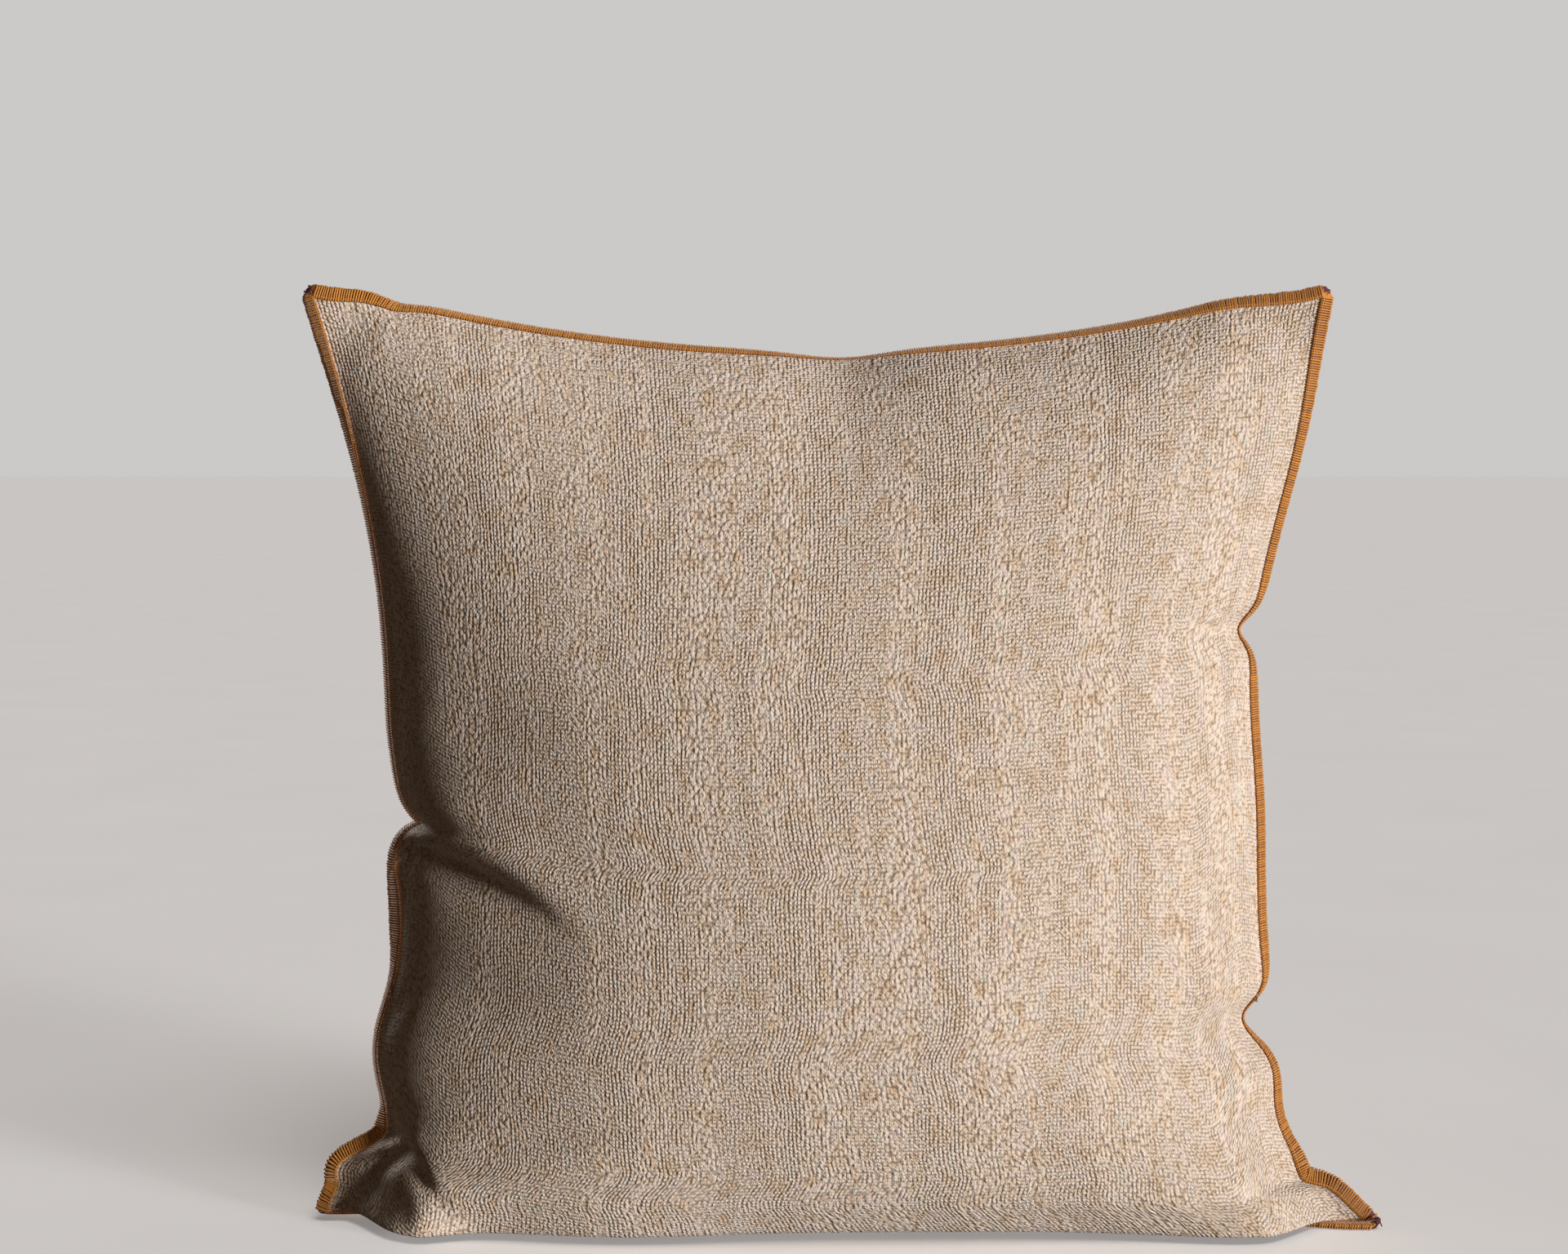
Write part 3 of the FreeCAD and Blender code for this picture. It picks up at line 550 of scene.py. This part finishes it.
def slot_gap(x):
    """Half the gap between the back panels: open over the zip, closed beyond its end stops."""
    return BACK_SEAM_HALF_GAP + SLOT_HALF_HEIGHT * ramp(-np.abs(x), -SLOT_CLOSED_FROM, -SLOT_OPEN_TO)


def make_back_panels(material):
    back = back_grid()
    inward = np.array([0.0, 1.0, 0.0])
    seam = seam_line("bottom", np.linspace(0, 1, BACK_COLUMNS))
    lower, upper = [], []
    for index in range(BACK_COLUMNS):
        column = back[index]
        edge = zip_line(column[:, 0].mean())
        gap = slot_gap(column[np.argmin(np.abs(column[:, 2] - edge)), 0])
        base = np.linspace(seam[index], column[0], 24)[:-1]
        lower.append(np.concatenate([base, along_column(column, column[0, 2], edge - gap, 60)]))
        upper.append(along_column(column, edge + gap, column[:, 2].max(), 150))
    lower, upper = np.array(lower), np.array(upper)
    for name, grid, node, sign, flat in (
        ("cover_back_lower", lower, "back_panel_lower", 1, (0.5, 0.19)),
        ("cover_back_upper", upper, "back_panel_upper", -1, (0.5, 0.37)),
    ):
        edge_row = grid[:, -1] if sign > 0 else grid[:, 0]
        folded = hem(edge_row, inward, sign)
        grid = with_flange(grid, 1, ("bottom",) if sign > 0 else ("top",))
        beside = (len(grid) - len(folded)) // 2
        folded = np.pad(folded, ((beside, beside), (0, 0), (0, 0)), mode="edge")
        if sign > 0:
            grid = np.concatenate([grid, folded], axis=1)
        else:
            grid = np.concatenate([folded[:, ::-1], grid], axis=1)
        raised(grid, CLOTH_CLEARANCE)
        piece = grid_piece(name, grid, material, flip=True)
        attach(piece, "cover")
        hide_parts(node)


# ---------------------------------------------------------------- threads


def tubes(paths, radii, sides):
    """Open-ended round tubes along paths with as many points each: points, faces and a pair for each point.

    A pair is the length along the path, in metres, and a random number that the whole path shares.
    """
    count, length = paths.shape[:2]
    tangent = unit(np.gradient(paths, axis=1))
    guide = np.where(np.abs(tangent[..., :1]) < 0.8, [[[1.0, 0, 0]]], [[[0, 0, 1.0]]])
    side = unit(np.cross(tangent, guide))
    other = np.cross(tangent, side)
    angle = np.arange(sides) / sides * 2 * math.pi
    ring = side[:, :, None] * np.cos(angle)[:, None] + other[:, :, None] * np.sin(angle)[:, None]
    points = paths[:, :, None] + ring * radii[:, None, None, None]
    first = np.arange(count * length * sides).reshape(count, length, sides)
    after = np.roll(first, -1, axis=2)
    faces = np.stack([first[:, :-1], after[:, :-1], after[:, 1:], first[:, 1:]], -1).reshape(-1, 4)
    run = np.cumsum(np.linalg.norm(np.diff(paths, axis=1, prepend=paths[:, :1]), axis=-1), axis=1)
    shade = rng.random(count)
    lengths = np.repeat(run[..., None], sides, -1) / 1000
    shades = np.broadcast_to(shade[:, None, None], points.shape[:3])
    pair = np.stack([lengths, shades], -1)
    return points.reshape(-1, 3), faces, pair.reshape(-1, 2)


def make_overlock(edge, material, core_shade_material):
    """One edge's stitches, each a thread of its own, with the core under them, dark with painted shade, and
    the needle line beside.
    """
    straight = even_seam(edge, STITCH_PITCH)
    line, out, face = with_fans(edge, straight)
    tangent = unit(np.cross(out, face))
    tangent *= np.sign(np.sum(tangent[len(line) // 2] * (straight[-1] - straight[0])))
    count = len(line)
    section = np.array(STITCH_SECTION)
    reach = section[:, 0] * (1 + 0.02 * rng.standard_normal((count, 1)))
    height = np.broadcast_to(section[:, 1] + 0.03, reach.shape)
    slant = np.where(np.arange(len(section)) < 6, 0.5, -0.1) * (section[:, 0] / STITCH_REACH)
    slide = slant + 0.07 * rng.standard_normal((count, 1))
    paths = (
        line[:, None]
        + out[:, None] * reach[..., None]
        + face[:, None] * height[..., None]
        + tangent[:, None] * slide[..., None]
    )
    raised(paths, THREAD_CLEARANCE)
    radii = THREAD_RADIUS * (1 + 0.06 * rng.standard_normal(count))
    points, faces, pair = tubes(paths, radii, 5)
    piece = as_piece("edge_" + edge, points, faces, material, pair)
    core = make_shaded_core(edge, line, out, face, core_shade_material)
    needle = make_needle_line(edge, straight, *flange_frame(edge, straight), material)
    for part in (core, needle):
        part.parent = piece
    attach(piece, "cover")
    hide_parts("overlock_edge_" + edge)


def with_fans(edge, line):
    """Adds the stitches that fan out round half of each corner, where two runs meet."""
    out, face = flange_frame(edge, line)
    upright = edge in ("left", "right")
    neighbours = ("bottom", "top") if upright else ("left", "right")
    meets_at = 0 if edge in ("left", "bottom") else -1
    lines, outs, faces = [line], [out], [face]
    shares = np.array([1, 2, 3, 4])[:, None] / 9
    for end, neighbour in zip((0, -1), neighbours):
        next_out, next_face = flange_frame(neighbour, even_seam(neighbour, STITCH_PITCH))
        fan = unit(out[end] * (1 - shares) + next_out[meets_at] * shares)
        fan_face = unit(face[end] * (1 - shares) + next_face[meets_at] * shares)
        order = -1 if end == 0 else 1
        at = 0 if end == 0 else len(lines)
        lines.insert(at, np.repeat(line[end][None], len(fan), axis=0))
        outs.insert(at, fan[::order])
        faces.insert(at, fan_face[::order])
    return np.concatenate(lines), np.concatenate(outs), np.concatenate(faces)


def make_shaded_core(edge, line, out, face, material):
    """The mass of crossing threads under the stitches, its near-black finish painted shade for the shadow
    seen between them.
    """
    reach, height = np.array(CORE_SECTION).T
    grid = line[:, None] + out[:, None] * reach[:, None] + face[:, None] * height[:, None]
    raised(grid, CORE_CLEARANCE)
    return grid_piece("edge_shaded_core_" + edge, grid, material)


def make_needle_line(edge, line, out, face, material):
    """The straight run of needle thread at the stitches' inner ends."""
    lift = np.where(np.arange(2 * len(line) - 1) % 2 == 0, 1.15, 1.45)
    fine = np.repeat(line, 2, axis=0)[:-1]
    fine[1::2] = (line[:-1] + line[1:]) / 2
    outs = np.repeat(out, 2, axis=0)[:-1]
    faces_up = np.repeat(face, 2, axis=0)[:-1]
    path = fine + outs * 0.35 + faces_up * lift[:, None]
    points, faces, pair = tubes(path[None], np.array([0.24]), 5)
    return as_piece("edge_needle_" + edge, points, faces, material, pair)


# ---------------------------------------------------------------- tacks and label


def corner_place(across_edge, side_edge):
    """The seam's corner, the directions out of its two edges, and the flange's front direction."""
    across_end = 0 if side_edge == "left" else -1
    side_end = 0 if across_edge == "bottom" else -1
    line = seam_line(across_edge, np.linspace(0, 1, 400))
    side = seam_line(side_edge, np.linspace(0, 1, 400))
    out, face = flange_frame(across_edge, line)
    side_out = flange_frame(side_edge, side)[0]
    return line[across_end], out[across_end], side_out[side_end], face[across_end]


def make_corner_tack(across_edge, side_edge, material, tail):
    """Turns of thread that bind the ends of the overlocking at a corner, with a cut tail."""
    corner, out, side_out, face = corner_place(across_edge, side_edge)
    outward, beside = unit(out + side_out), unit(out - side_out)
    middle = corner + 4.7 * outward
    turns, steps = 6, 14
    paths = []
    for turn in range(turns):
        angle = np.linspace(0, 2 * math.pi, steps)[:, None]
        size = 1 + 0.08 * rng.standard_normal()
        loop = middle + beside * (turn - (turns - 1) / 2) * 0.72 + outward * 0.25 * rng.standard_normal()
        ring = np.cos(angle) * outward * 2.1 + np.sin(angle) * face * 1.75
        paths.append(loop + ring * size + beside * 0.5 * np.sin(angle / 2))
    points, faces, pair = tubes(np.array(paths), np.full(turns, 0.42), 6)
    share = np.linspace(0, 1, 12)[:, None]
    hanging = np.array([0.3, -0.2, -1.0]) * tail
    end = middle + outward * 2.1 + side_out * 0.8 * share
    end = end + hanging * share**2 + face * 0.6 * np.sin(share * 3)
    raised(end, TAIL_CLEARANCE)
    tail_points, tail_faces, tail_pair = tubes(end[None], np.array([0.33]), 6)
    faces = np.concatenate([faces, tail_faces + len(points)])
    points = np.concatenate([points, tail_points])
    raised(points, TACK_CLEARANCE)
    name = across_edge + "_" + side_edge
    piece = as_piece("tack_" + name, points, faces, material, np.concatenate([pair, tail_pair]))
    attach(piece, "cover")
    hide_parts("corner_tack_" + name)


def make_label(material):
    """A blank folded tape sewn into the right-hand seam."""
    places = np.linspace(0, 1, 600)
    line = seam_line("right", places)
    out, face = flange_frame("right", line)
    rise = np.linspace(24, 49, 14)
    order = np.argsort(line[:, 2])
    root = np.stack([np.interp(rise, line[order, 2], line[order, k]) for k in range(3)], -1)
    way = np.stack([np.interp(rise, line[order, 2], out[order, k]) for k in range(3)], -1)
    up = np.stack([np.interp(rise, line[order, 2], face[order, k]) for k in range(3)], -1)
    fold = np.linspace(0, math.pi, 7)
    reach = np.concatenate([np.linspace(2, 14, 8), 14 + 0.7 * np.sin(fold[1:-1]), np.linspace(14, 2, 8)])
    level = np.concatenate([np.full(8, 0.5), 0.5 * np.cos(fold[1:-1]), np.full(8, -0.5)])
    sway = 1.2 * np.sin(rise / 5.0)[:, None] * (reach / 14)
    drop = -3.0 * (reach / 14) ** 2
    flare = 0.5 + 0.3 * np.linspace(1, 0, len(rise))[:, None]
    grid = root[:, None] + way[:, None] * (flare * reach)[..., None]
    grid = grid + up[:, None] * (level - 1.9 + sway - np.sqrt(1 - flare**2) * reach)[..., None]
    grid[..., 2] += drop * 0.5
    piece = grid_piece("label", grid, material)
    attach(piece, "cover")
    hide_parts("care_label")


# ---------------------------------------------------------------- the insert


def closed_cushion(inset, loss):
    """The insert's two halves and its base, as one closed form inside the cover."""
    even = np.linspace(0, 1, CUSHION_POINTS)
    front = half_surface(-1, even, even, floor=3.0, inset=inset, loss=loss)
    back = half_surface(1, even, even, floor=3.0, inset=inset, loss=loss)
    base = front[:, :1] + (back[:, :1] - front[:, :1]) * np.linspace(0, 1, 14)[None, :, None]
    return np.concatenate([front[:, ::-1], base[:, 1:-1], back], axis=1)


def make_insert_casing(lawn):
    piece = grid_piece("insert_casing", closed_cushion(inset=9.0, loss=9.0), lawn)
    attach(piece, "cover")
    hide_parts("insert_casing_front", "insert_casing_back")


def make_insert_fibre(fibre):
    piece = grid_piece("insert_fibre", closed_cushion(inset=10.5, loss=11.0), fibre)
    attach(piece, "cover")
    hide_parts("insert_filling")


# ---------------------------------------------------------------- materials


def socket(tree, target, value):
    """Sets a shader input, or links it where the value is another node's output."""
    if isinstance(value, bpy.types.NodeSocket):
        tree.links.new(value, target)
    else:
        target.default_value = value


def node(tree, kind, inputs=(), output=0, **settings):
    """A shader node with its settings and inputs, and the output that is wanted of it."""
    made = tree.nodes.new(kind)
    for key, value in settings.items():
        setattr(made, key, value)
    for key, value in dict(inputs).items():
        socket(tree, made.inputs[key], value)
    return made.outputs[output]


def maths(tree, operation, *values):
    return node(tree, "ShaderNodeMath", dict(enumerate(values)), operation=operation)


def mixed(tree, share, first, second, blend="MIX"):
    inputs = {0: share, 6: first, 7: second}
    return node(tree, "ShaderNodeMix", inputs, output=2, data_type="RGBA", blend_type=blend)


def between(tree, value, low, high, out_low=0.0, out_high=1.0):
    inputs = {"Value": value, "From Min": low, "From Max": high, "To Min": out_low, "To Max": out_high}
    return node(tree, "ShaderNodeMapRange", inputs, interpolation_type="SMOOTHSTEP")


def noise(tree, vector, scale, detail=2.0, output=0):
    inputs = {"Vector": vector, "Scale": scale, "Detail": detail}
    return node(tree, "ShaderNodeTexNoise", inputs, output=output)


def stretched(tree, u, v, across, along):
    """A place on the cloth, in steps of `across` and `along` millimetres."""
    return node(
        tree,
        "ShaderNodeCombineXYZ",
        {0: maths(tree, "DIVIDE", u, across), 1: maths(tree, "DIVIDE", v, along)},
    )


def parts(tree, vector):
    """A vector's three numbers."""
    return node(tree, "ShaderNodeSeparateXYZ", {0: vector}).node.outputs


def object_place(tree):
    return node(tree, "ShaderNodeTexCoord", output=3)


def bumped(tree, surface, height, strength, distance):
    """Raises the surface's finish by a height, with the distance in metres."""
    inputs = {"Strength": strength, "Distance": distance, "Height": height}
    socket(tree, surface.inputs["Normal"], node(tree, "ShaderNodeBump", inputs))


def new_material(name, roughness, **shader):
    material = bpy.data.materials.new(name)
    material.use_nodes = True
    tree = material.node_tree
    surface = tree.nodes["Principled BSDF"]
    surface.inputs["Roughness"].default_value = roughness
    for key, value in shader.items():
        surface.inputs[key.replace("_", " ")].default_value = value
    return material, tree, surface


def cloth_place(tree):
    """The place on the flat cloth in millimetres, across and along."""
    metres = parts(tree, node(tree, "ShaderNodeUVMap", uv_map="cut"))
    return [maths(tree, "MULTIPLY", metres[k], 1000.0) for k in (0, 1)]


def cells(tree, vector, randomness, smoothness):
    """Rounded cells: the distance from each one's middle, and its own random colour."""
    inputs = {"Vector": vector, "Scale": 1.0, "Smoothness": smoothness, "Randomness": randomness}
    settings = {"voronoi_dimensions": "2D", "feature": "SMOOTH_F1"}
    reach = node(tree, "ShaderNodeTexVoronoi", inputs, **settings)
    return reach, reach.node.outputs["Color"]


def brightness(tree, colour):
    return node(tree, "ShaderNodeRGBToBW", {0: colour})


def yarn_lattice(tree, u, v, warp_pitch, weft_pitch):
    """The crossings of an even weave: 1 on each one's crown and 0 between them."""
    waves = [
        maths(tree, "ABSOLUTE", maths(tree, "SINE", maths(tree, "MULTIPLY", place, math.pi / pitch)))
        for place, pitch in ((u, warp_pitch), (v, weft_pitch))
    ]
    return maths(tree, "MULTIPLY", *waves)


def tinted(tree, colour, pattern, low, high, most, tint, blend="MIX"):
    """Blends a tint in, up to the share `most`, where a pattern goes from `low` to `high`."""
    return mixed(tree, between(tree, pattern, low, high, 0.0, most), colour, tint, blend)


def slub_linen():
    """Plain weave of thick and thin yarn, in bands of fine cloth and bands of chunky slubs."""
    material, tree, surface = new_material(
        "slub_linen", 0.92, Sheen_Weight=0.22, Sheen_Roughness=0.55, Specular_IOR_Level=0.2
    )
    # the yarns wander by a millimetre or so
    u, v = cloth_place(tree)
    wander = parts(tree, noise(tree, stretched(tree, u, v, 9.0, 16.0), 1.0, 4.0, output=1))
    u = maths(tree, "MULTIPLY_ADD", maths(tree, "SUBTRACT", wander[0], 0.5), 2.2, u)
    v = maths(tree, "MULTIPLY_ADD", maths(tree, "SUBTRACT", wander[1], 0.5), 2.2, v)

    # the fine cloth, and the chunky slubs that stand on it
    lattice = yarn_lattice(tree, u, v, 1.95, 1.85)
    knots, knot_tone = cells(tree, stretched(tree, u, v, 1.9, 1.85), 0.7, 0.2)
    fine = maths(tree, "MULTIPLY_ADD", lattice, 0.5, between(tree, knots, 0.70, 0.15, 0.0, 0.5))
    nub_reach, nub_tone = cells(tree, stretched(tree, u, v, 2.5, 3.0), 0.8, 0.25)
    half_fine = maths(tree, "MULTIPLY", fine, 0.5)
    nubs = maths(tree, "MULTIPLY_ADD", between(tree, nub_reach, 0.70, 0.15), 0.55, half_fine)

    # the bands run up the cloth and break up along their length
    strips = noise(tree, stretched(tree, u, v, 24.0, 420.0), 1.0, 1.0)
    broken = noise(tree, stretched(tree, u, v, 10.0, 34.0), 1.0, 3.0)
    band = maths(tree, "MULTIPLY_ADD", maths(tree, "SUBTRACT", broken, 0.5), 0.8, strips)
    band = between(tree, band, 0.40, 0.64)

    height = node(tree, "ShaderNodeMix", {0: band, 2: fine, 3: nubs})
    fibres = noise(tree, stretched(tree, u, v, 0.8, 0.9), 1.0, 3.0)
    height = maths(tree, "MULTIPLY_ADD", fibres, 0.5, height)

    # the colour: painted shade that darkens the weave towards its hollows, yarns of their own tone, and
    # patches of ochre, rose and grey
    hollow = (0.35, 0.26, 0.19, 1)
    crown = (0.75, 0.59, 0.46, 1)
    # painted shade: the colour goes dark where the weave's height is low, between the yarns
    colour = mixed(tree, between(tree, height, 0.30, 0.95), hollow, crown)
    knot_light, nub_light = brightness(tree, knot_tone), brightness(tree, nub_tone)
    tone = node(tree, "ShaderNodeMix", {0: band, 2: knot_light, 3: nub_light})
    colour = tinted(tree, colour, tone, 0.5, 0.9, 0.40, (0.80, 0.68, 0.58, 1))
    colour = tinted(tree, colour, tone, 0.45, 0.15, 0.45, (0.78, 0.66, 0.54, 1), "MULTIPLY")
    patch = noise(tree, stretched(tree, u, v, 8.0, 12.0), 1.0, 4.0)
    colour = tinted(tree, colour, patch, 0.51, 0.66, 0.50, (0.84, 0.72, 0.54, 1), "MULTIPLY")
    colour = tinted(tree, colour, patch, 0.49, 0.34, 0.35, (0.68, 0.54, 0.50, 1))
    grey = noise(tree, stretched(tree, v, u, 14.0, 7.0), 1.0, 3.0)
    colour = tinted(tree, colour, grey, 0.56, 0.70, 0.45, (0.60, 0.56, 0.47, 1))
    socket(tree, surface.inputs["Base Color"], colour)
    bumped(tree, surface, height, 1.0, 0.00075)
    return material


def edge_thread(name, colour, dark):
    """Twisted sewing thread; the second number of its pair differs from stitch to stitch."""
    material, tree, surface = new_material(
        name, 0.55, Sheen_Weight=0.12, Sheen_Roughness=0.4, Specular_IOR_Level=0.4
    )
    pair = parts(tree, node(tree, "ShaderNodeUVMap", uv_map="cut"))
    ply_pitch = 0.45
    twist = maths(tree, "SINE", maths(tree, "MULTIPLY", pair[0], 1000 * math.pi / ply_pitch))
    patches = noise(tree, object_place(tree), 900.0, 2.0)
    tone = maths(tree, "MULTIPLY_ADD", pair[1], 0.5, maths(tree, "MULTIPLY", patches, 0.5))
    socket(tree, surface.inputs["Base Color"], mixed(tree, tone, dark, colour))
    bumped(tree, surface, twist, 0.35, 0.0001)
    return material


def plain_weave(name, light, dark, pitch, roughness=0.85):
    """Fine even cloth or tape, for the label, the zip's tape and the insert."""
    material, tree, surface = new_material(
        name, roughness, Sheen_Weight=0.15, Sheen_Roughness=0.5, Specular_IOR_Level=0.25
    )
    where = object_place(tree)
    metres = parts(tree, where)
    turns = 1000 * math.pi / pitch
    lines = [maths(tree, "SINE", maths(tree, "MULTIPLY", metres[k], turns)) for k in (0, 2)]
    weave = maths(tree, "MULTIPLY_ADD", maths(tree, "MULTIPLY", *lines), 0.5, 0.5)
    patches = noise(tree, where, 260.0, 3.0)
    share = maths(tree, "MULTIPLY_ADD", weave, 0.6, maths(tree, "MULTIPLY", patches, 0.4))
    socket(tree, surface.inputs["Base Color"], mixed(tree, share, dark, light))
    bumped(tree, surface, weave, 0.5, 0.0002)
    return material


def fibre_fill():
    """Loose white fibre in soft tufts."""
    material, tree, surface = new_material("fibre_fill", 1.0, Sheen_Weight=0.5, Sheen_Roughness=0.6)
    tufts = noise(tree, object_place(tree), 90.0, 8.0)
    shade = mixed(tree, tufts, (0.62, 0.61, 0.59, 1), (0.88, 0.87, 0.85, 1))
    socket(tree, surface.inputs["Base Color"], shade)
    bumped(tree, surface, tufts, 0.8, 0.002)
    return material


def worn_metal(name, bright, dull):
    """Cast zip metal with a brushed, slightly rubbed finish."""
    material, tree, surface = new_material(name, 0.34, Metallic=1.0)
    where = object_place(tree)
    rubbed = noise(tree, where, 420.0, 4.0)
    socket(tree, surface.inputs["Base Color"], mixed(tree, rubbed, dull, bright))
    socket(tree, surface.inputs["Roughness"], between(tree, rubbed, 0.3, 0.7, 0.26, 0.46))
    grain = noise(tree, where, 2600.0, 3.0)
    bumped(tree, surface, grain, 0.15, 0.0001)
    return material


def moulded_teeth():
    """Nylon in the tape's colour."""
    material, tree, surface = new_material("zip_coil", 0.38, Specular_IOR_Level=0.5)
    tone = noise(tree, object_place(tree), 500.0, 3.0)
    shade = mixed(tree, tone, (0.36, 0.28, 0.20, 1), (0.50, 0.40, 0.30, 1))
    socket(tree, surface.inputs["Base Color"], shade)
    bumped(tree, surface, tone, 0.2, 0.0001)
    return material


def dress_cad_nodes():
    """The zip's own parts stay as the CAD made them and get their finish here."""
    tape = plain_weave("zip_tape", (0.56, 0.46, 0.35, 1), (0.36, 0.28, 0.20, 1), 0.7)
    metal = worn_metal("zip_metal", (0.78, 0.66, 0.46, 1), (0.50, 0.40, 0.26, 1))
    finishes = {
        tape: ("zip_tape_upper", "zip_tape_lower"),
        moulded_teeth(): ("zip_teeth_upper", "zip_teeth_lower"),
        metal: (
            "zip_closed_stop_upper",
            "zip_closed_stop_lower",
            "zip_open_stop",
            "zip_slider",
            "zip_pull",
        ),
    }
    for material, names in finishes.items():
        for name in names:
            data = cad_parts[name].data
            data.materials.clear()
            data.materials.append(material)
    for name in ("zip_slider", "zip_pull"):
        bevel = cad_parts[name].modifiers.new("edges", "BEVEL")
        bevel.width = 0.00018
        bevel.segments = 2
        bevel.limit_method = "ANGLE"


# ---------------------------------------------------------------- stage, light and camera


def make_stage():
    """A plain pale floor. Its own bounced light is left out, so the pillow's shaded side stays dark."""
    mesh = bpy.data.meshes.new("floor")
    reach = 60.0
    corners = [(-reach, -reach, 0), (reach, -reach, 0), (reach, reach, 0), (-reach, reach, 0)]
    mesh.from_pydata(corners, [], [(0, 1, 2, 3)])
    floor = placed(bpy.data.objects.new("floor", mesh))
    material, tree, surface = new_material("floor_paint", 0.9, Specular_IOR_Level=0.0)
    mottle = noise(tree, object_place(tree), 6.0, 4.0)
    shade = mixed(tree, mottle, (0.72, 0.695, 0.68, 1), (0.76, 0.735, 0.72, 1))
    socket(tree, surface.inputs["Base Color"], shade)
    mesh.materials.append(material)
    floor.visible_diffuse = False
    return floor


def make_sun(name, azimuth, elevation, strength, softness, shadow=True):
    """A soft distant light; azimuth 0 is in front of the pillow and 90 is to its right."""
    data = bpy.data.lights.new(name, "SUN")
    data.energy = strength
    data.angle = math.radians(softness)
    data.use_shadow = shadow
    sun = placed(bpy.data.objects.new(name, data))
    turn, rise = math.radians(azimuth), math.radians(elevation)
    away = Vector((math.sin(turn) * math.cos(rise), -math.cos(turn) * math.cos(rise), math.sin(rise)))
    sun.rotation_mode = "QUATERNION"
    sun.rotation_quaternion = (-away).to_track_quat("-Z", "Y")
    return sun


def make_world():
    """A weak warm fill on the pillow, and a plain grey backdrop behind it."""
    world = bpy.data.worlds.new("studio")
    world.use_nodes = True
    tree = world.node_tree
    background = tree.nodes["Background"]
    seen = node(tree, "ShaderNodeLightPath")
    fill = (0.048, 0.035, 0.025, 1)
    backdrop = (0.60, 0.588, 0.575, 1)
    socket(tree, background.inputs["Color"], mixed(tree, seen, fill, backdrop))
    bpy.context.scene.world = world


def make_camera():
    data = bpy.data.cameras.new("camera")
    data.sensor_width = 36.0
    data.lens = CAMERA_LENS
    camera = placed(bpy.data.objects.new("camera", data))
    camera.location = CAMERA_PLACE
    camera.rotation_euler = (math.radians(90 - CAMERA_PITCH), 0, 0)
    bpy.context.scene.camera = camera
    bpy.context.scene.view_settings.view_transform = "Standard"


def make_lights(floor):
    """A low key from the right, a fill on the back, and a light for the floor alone."""
    make_sun("key", 55, 2, 7.0, 16)
    make_sun("rear_fill", 205, 25, 2.1, 20, shadow=False)
    floor_light = make_sun("floor_light", 30, 62, 1.25, 30)
    lit = bpy.data.collections.new("lit_by_floor_light")
    lit.objects.link(floor)
    floor_light.light_linking.receiver_collection = lit


def make_cover():
    linen = slub_linen()
    thread = edge_thread("ochre_thread", (0.70, 0.28, 0.030, 1), (0.36, 0.125, 0.013, 1))
    # painted shade: the core is near-black so the gaps between the stitches read as shadow
    core = edge_thread("ochre_core_painted_shade", (0.16, 0.045, 0.012, 1), (0.09, 0.025, 0.01, 1))
    make_front_panel(linen)
    make_back_panels(linen)
    for edge in ("left", "right", "top", "bottom"):
        make_overlock(edge, thread, core)
    tack = edge_thread("burgundy_thread", (0.20, 0.035, 0.045, 1), (0.06, 0.012, 0.02, 1))
    for across_edge, tail in (("top", 3.5), ("bottom", 2.5)):
        for side_edge in ("left", "right"):
            make_corner_tack(across_edge, side_edge, tack, tail)
    make_label(plain_weave("label_tape", (0.86, 0.86, 0.84, 1), (0.66, 0.66, 0.64, 1), 0.5))


def make_insert():
    make_insert_casing(plain_weave("insert_lawn", (0.86, 0.85, 0.82, 1), (0.70, 0.69, 0.66, 1), 0.6))
    make_insert_fibre(fibre_fill())


def main():
    make_camera()
    floor = make_stage()
    make_world()
    make_lights(floor)
    make_cover()
    make_insert()
    dress_cad_nodes()


main()
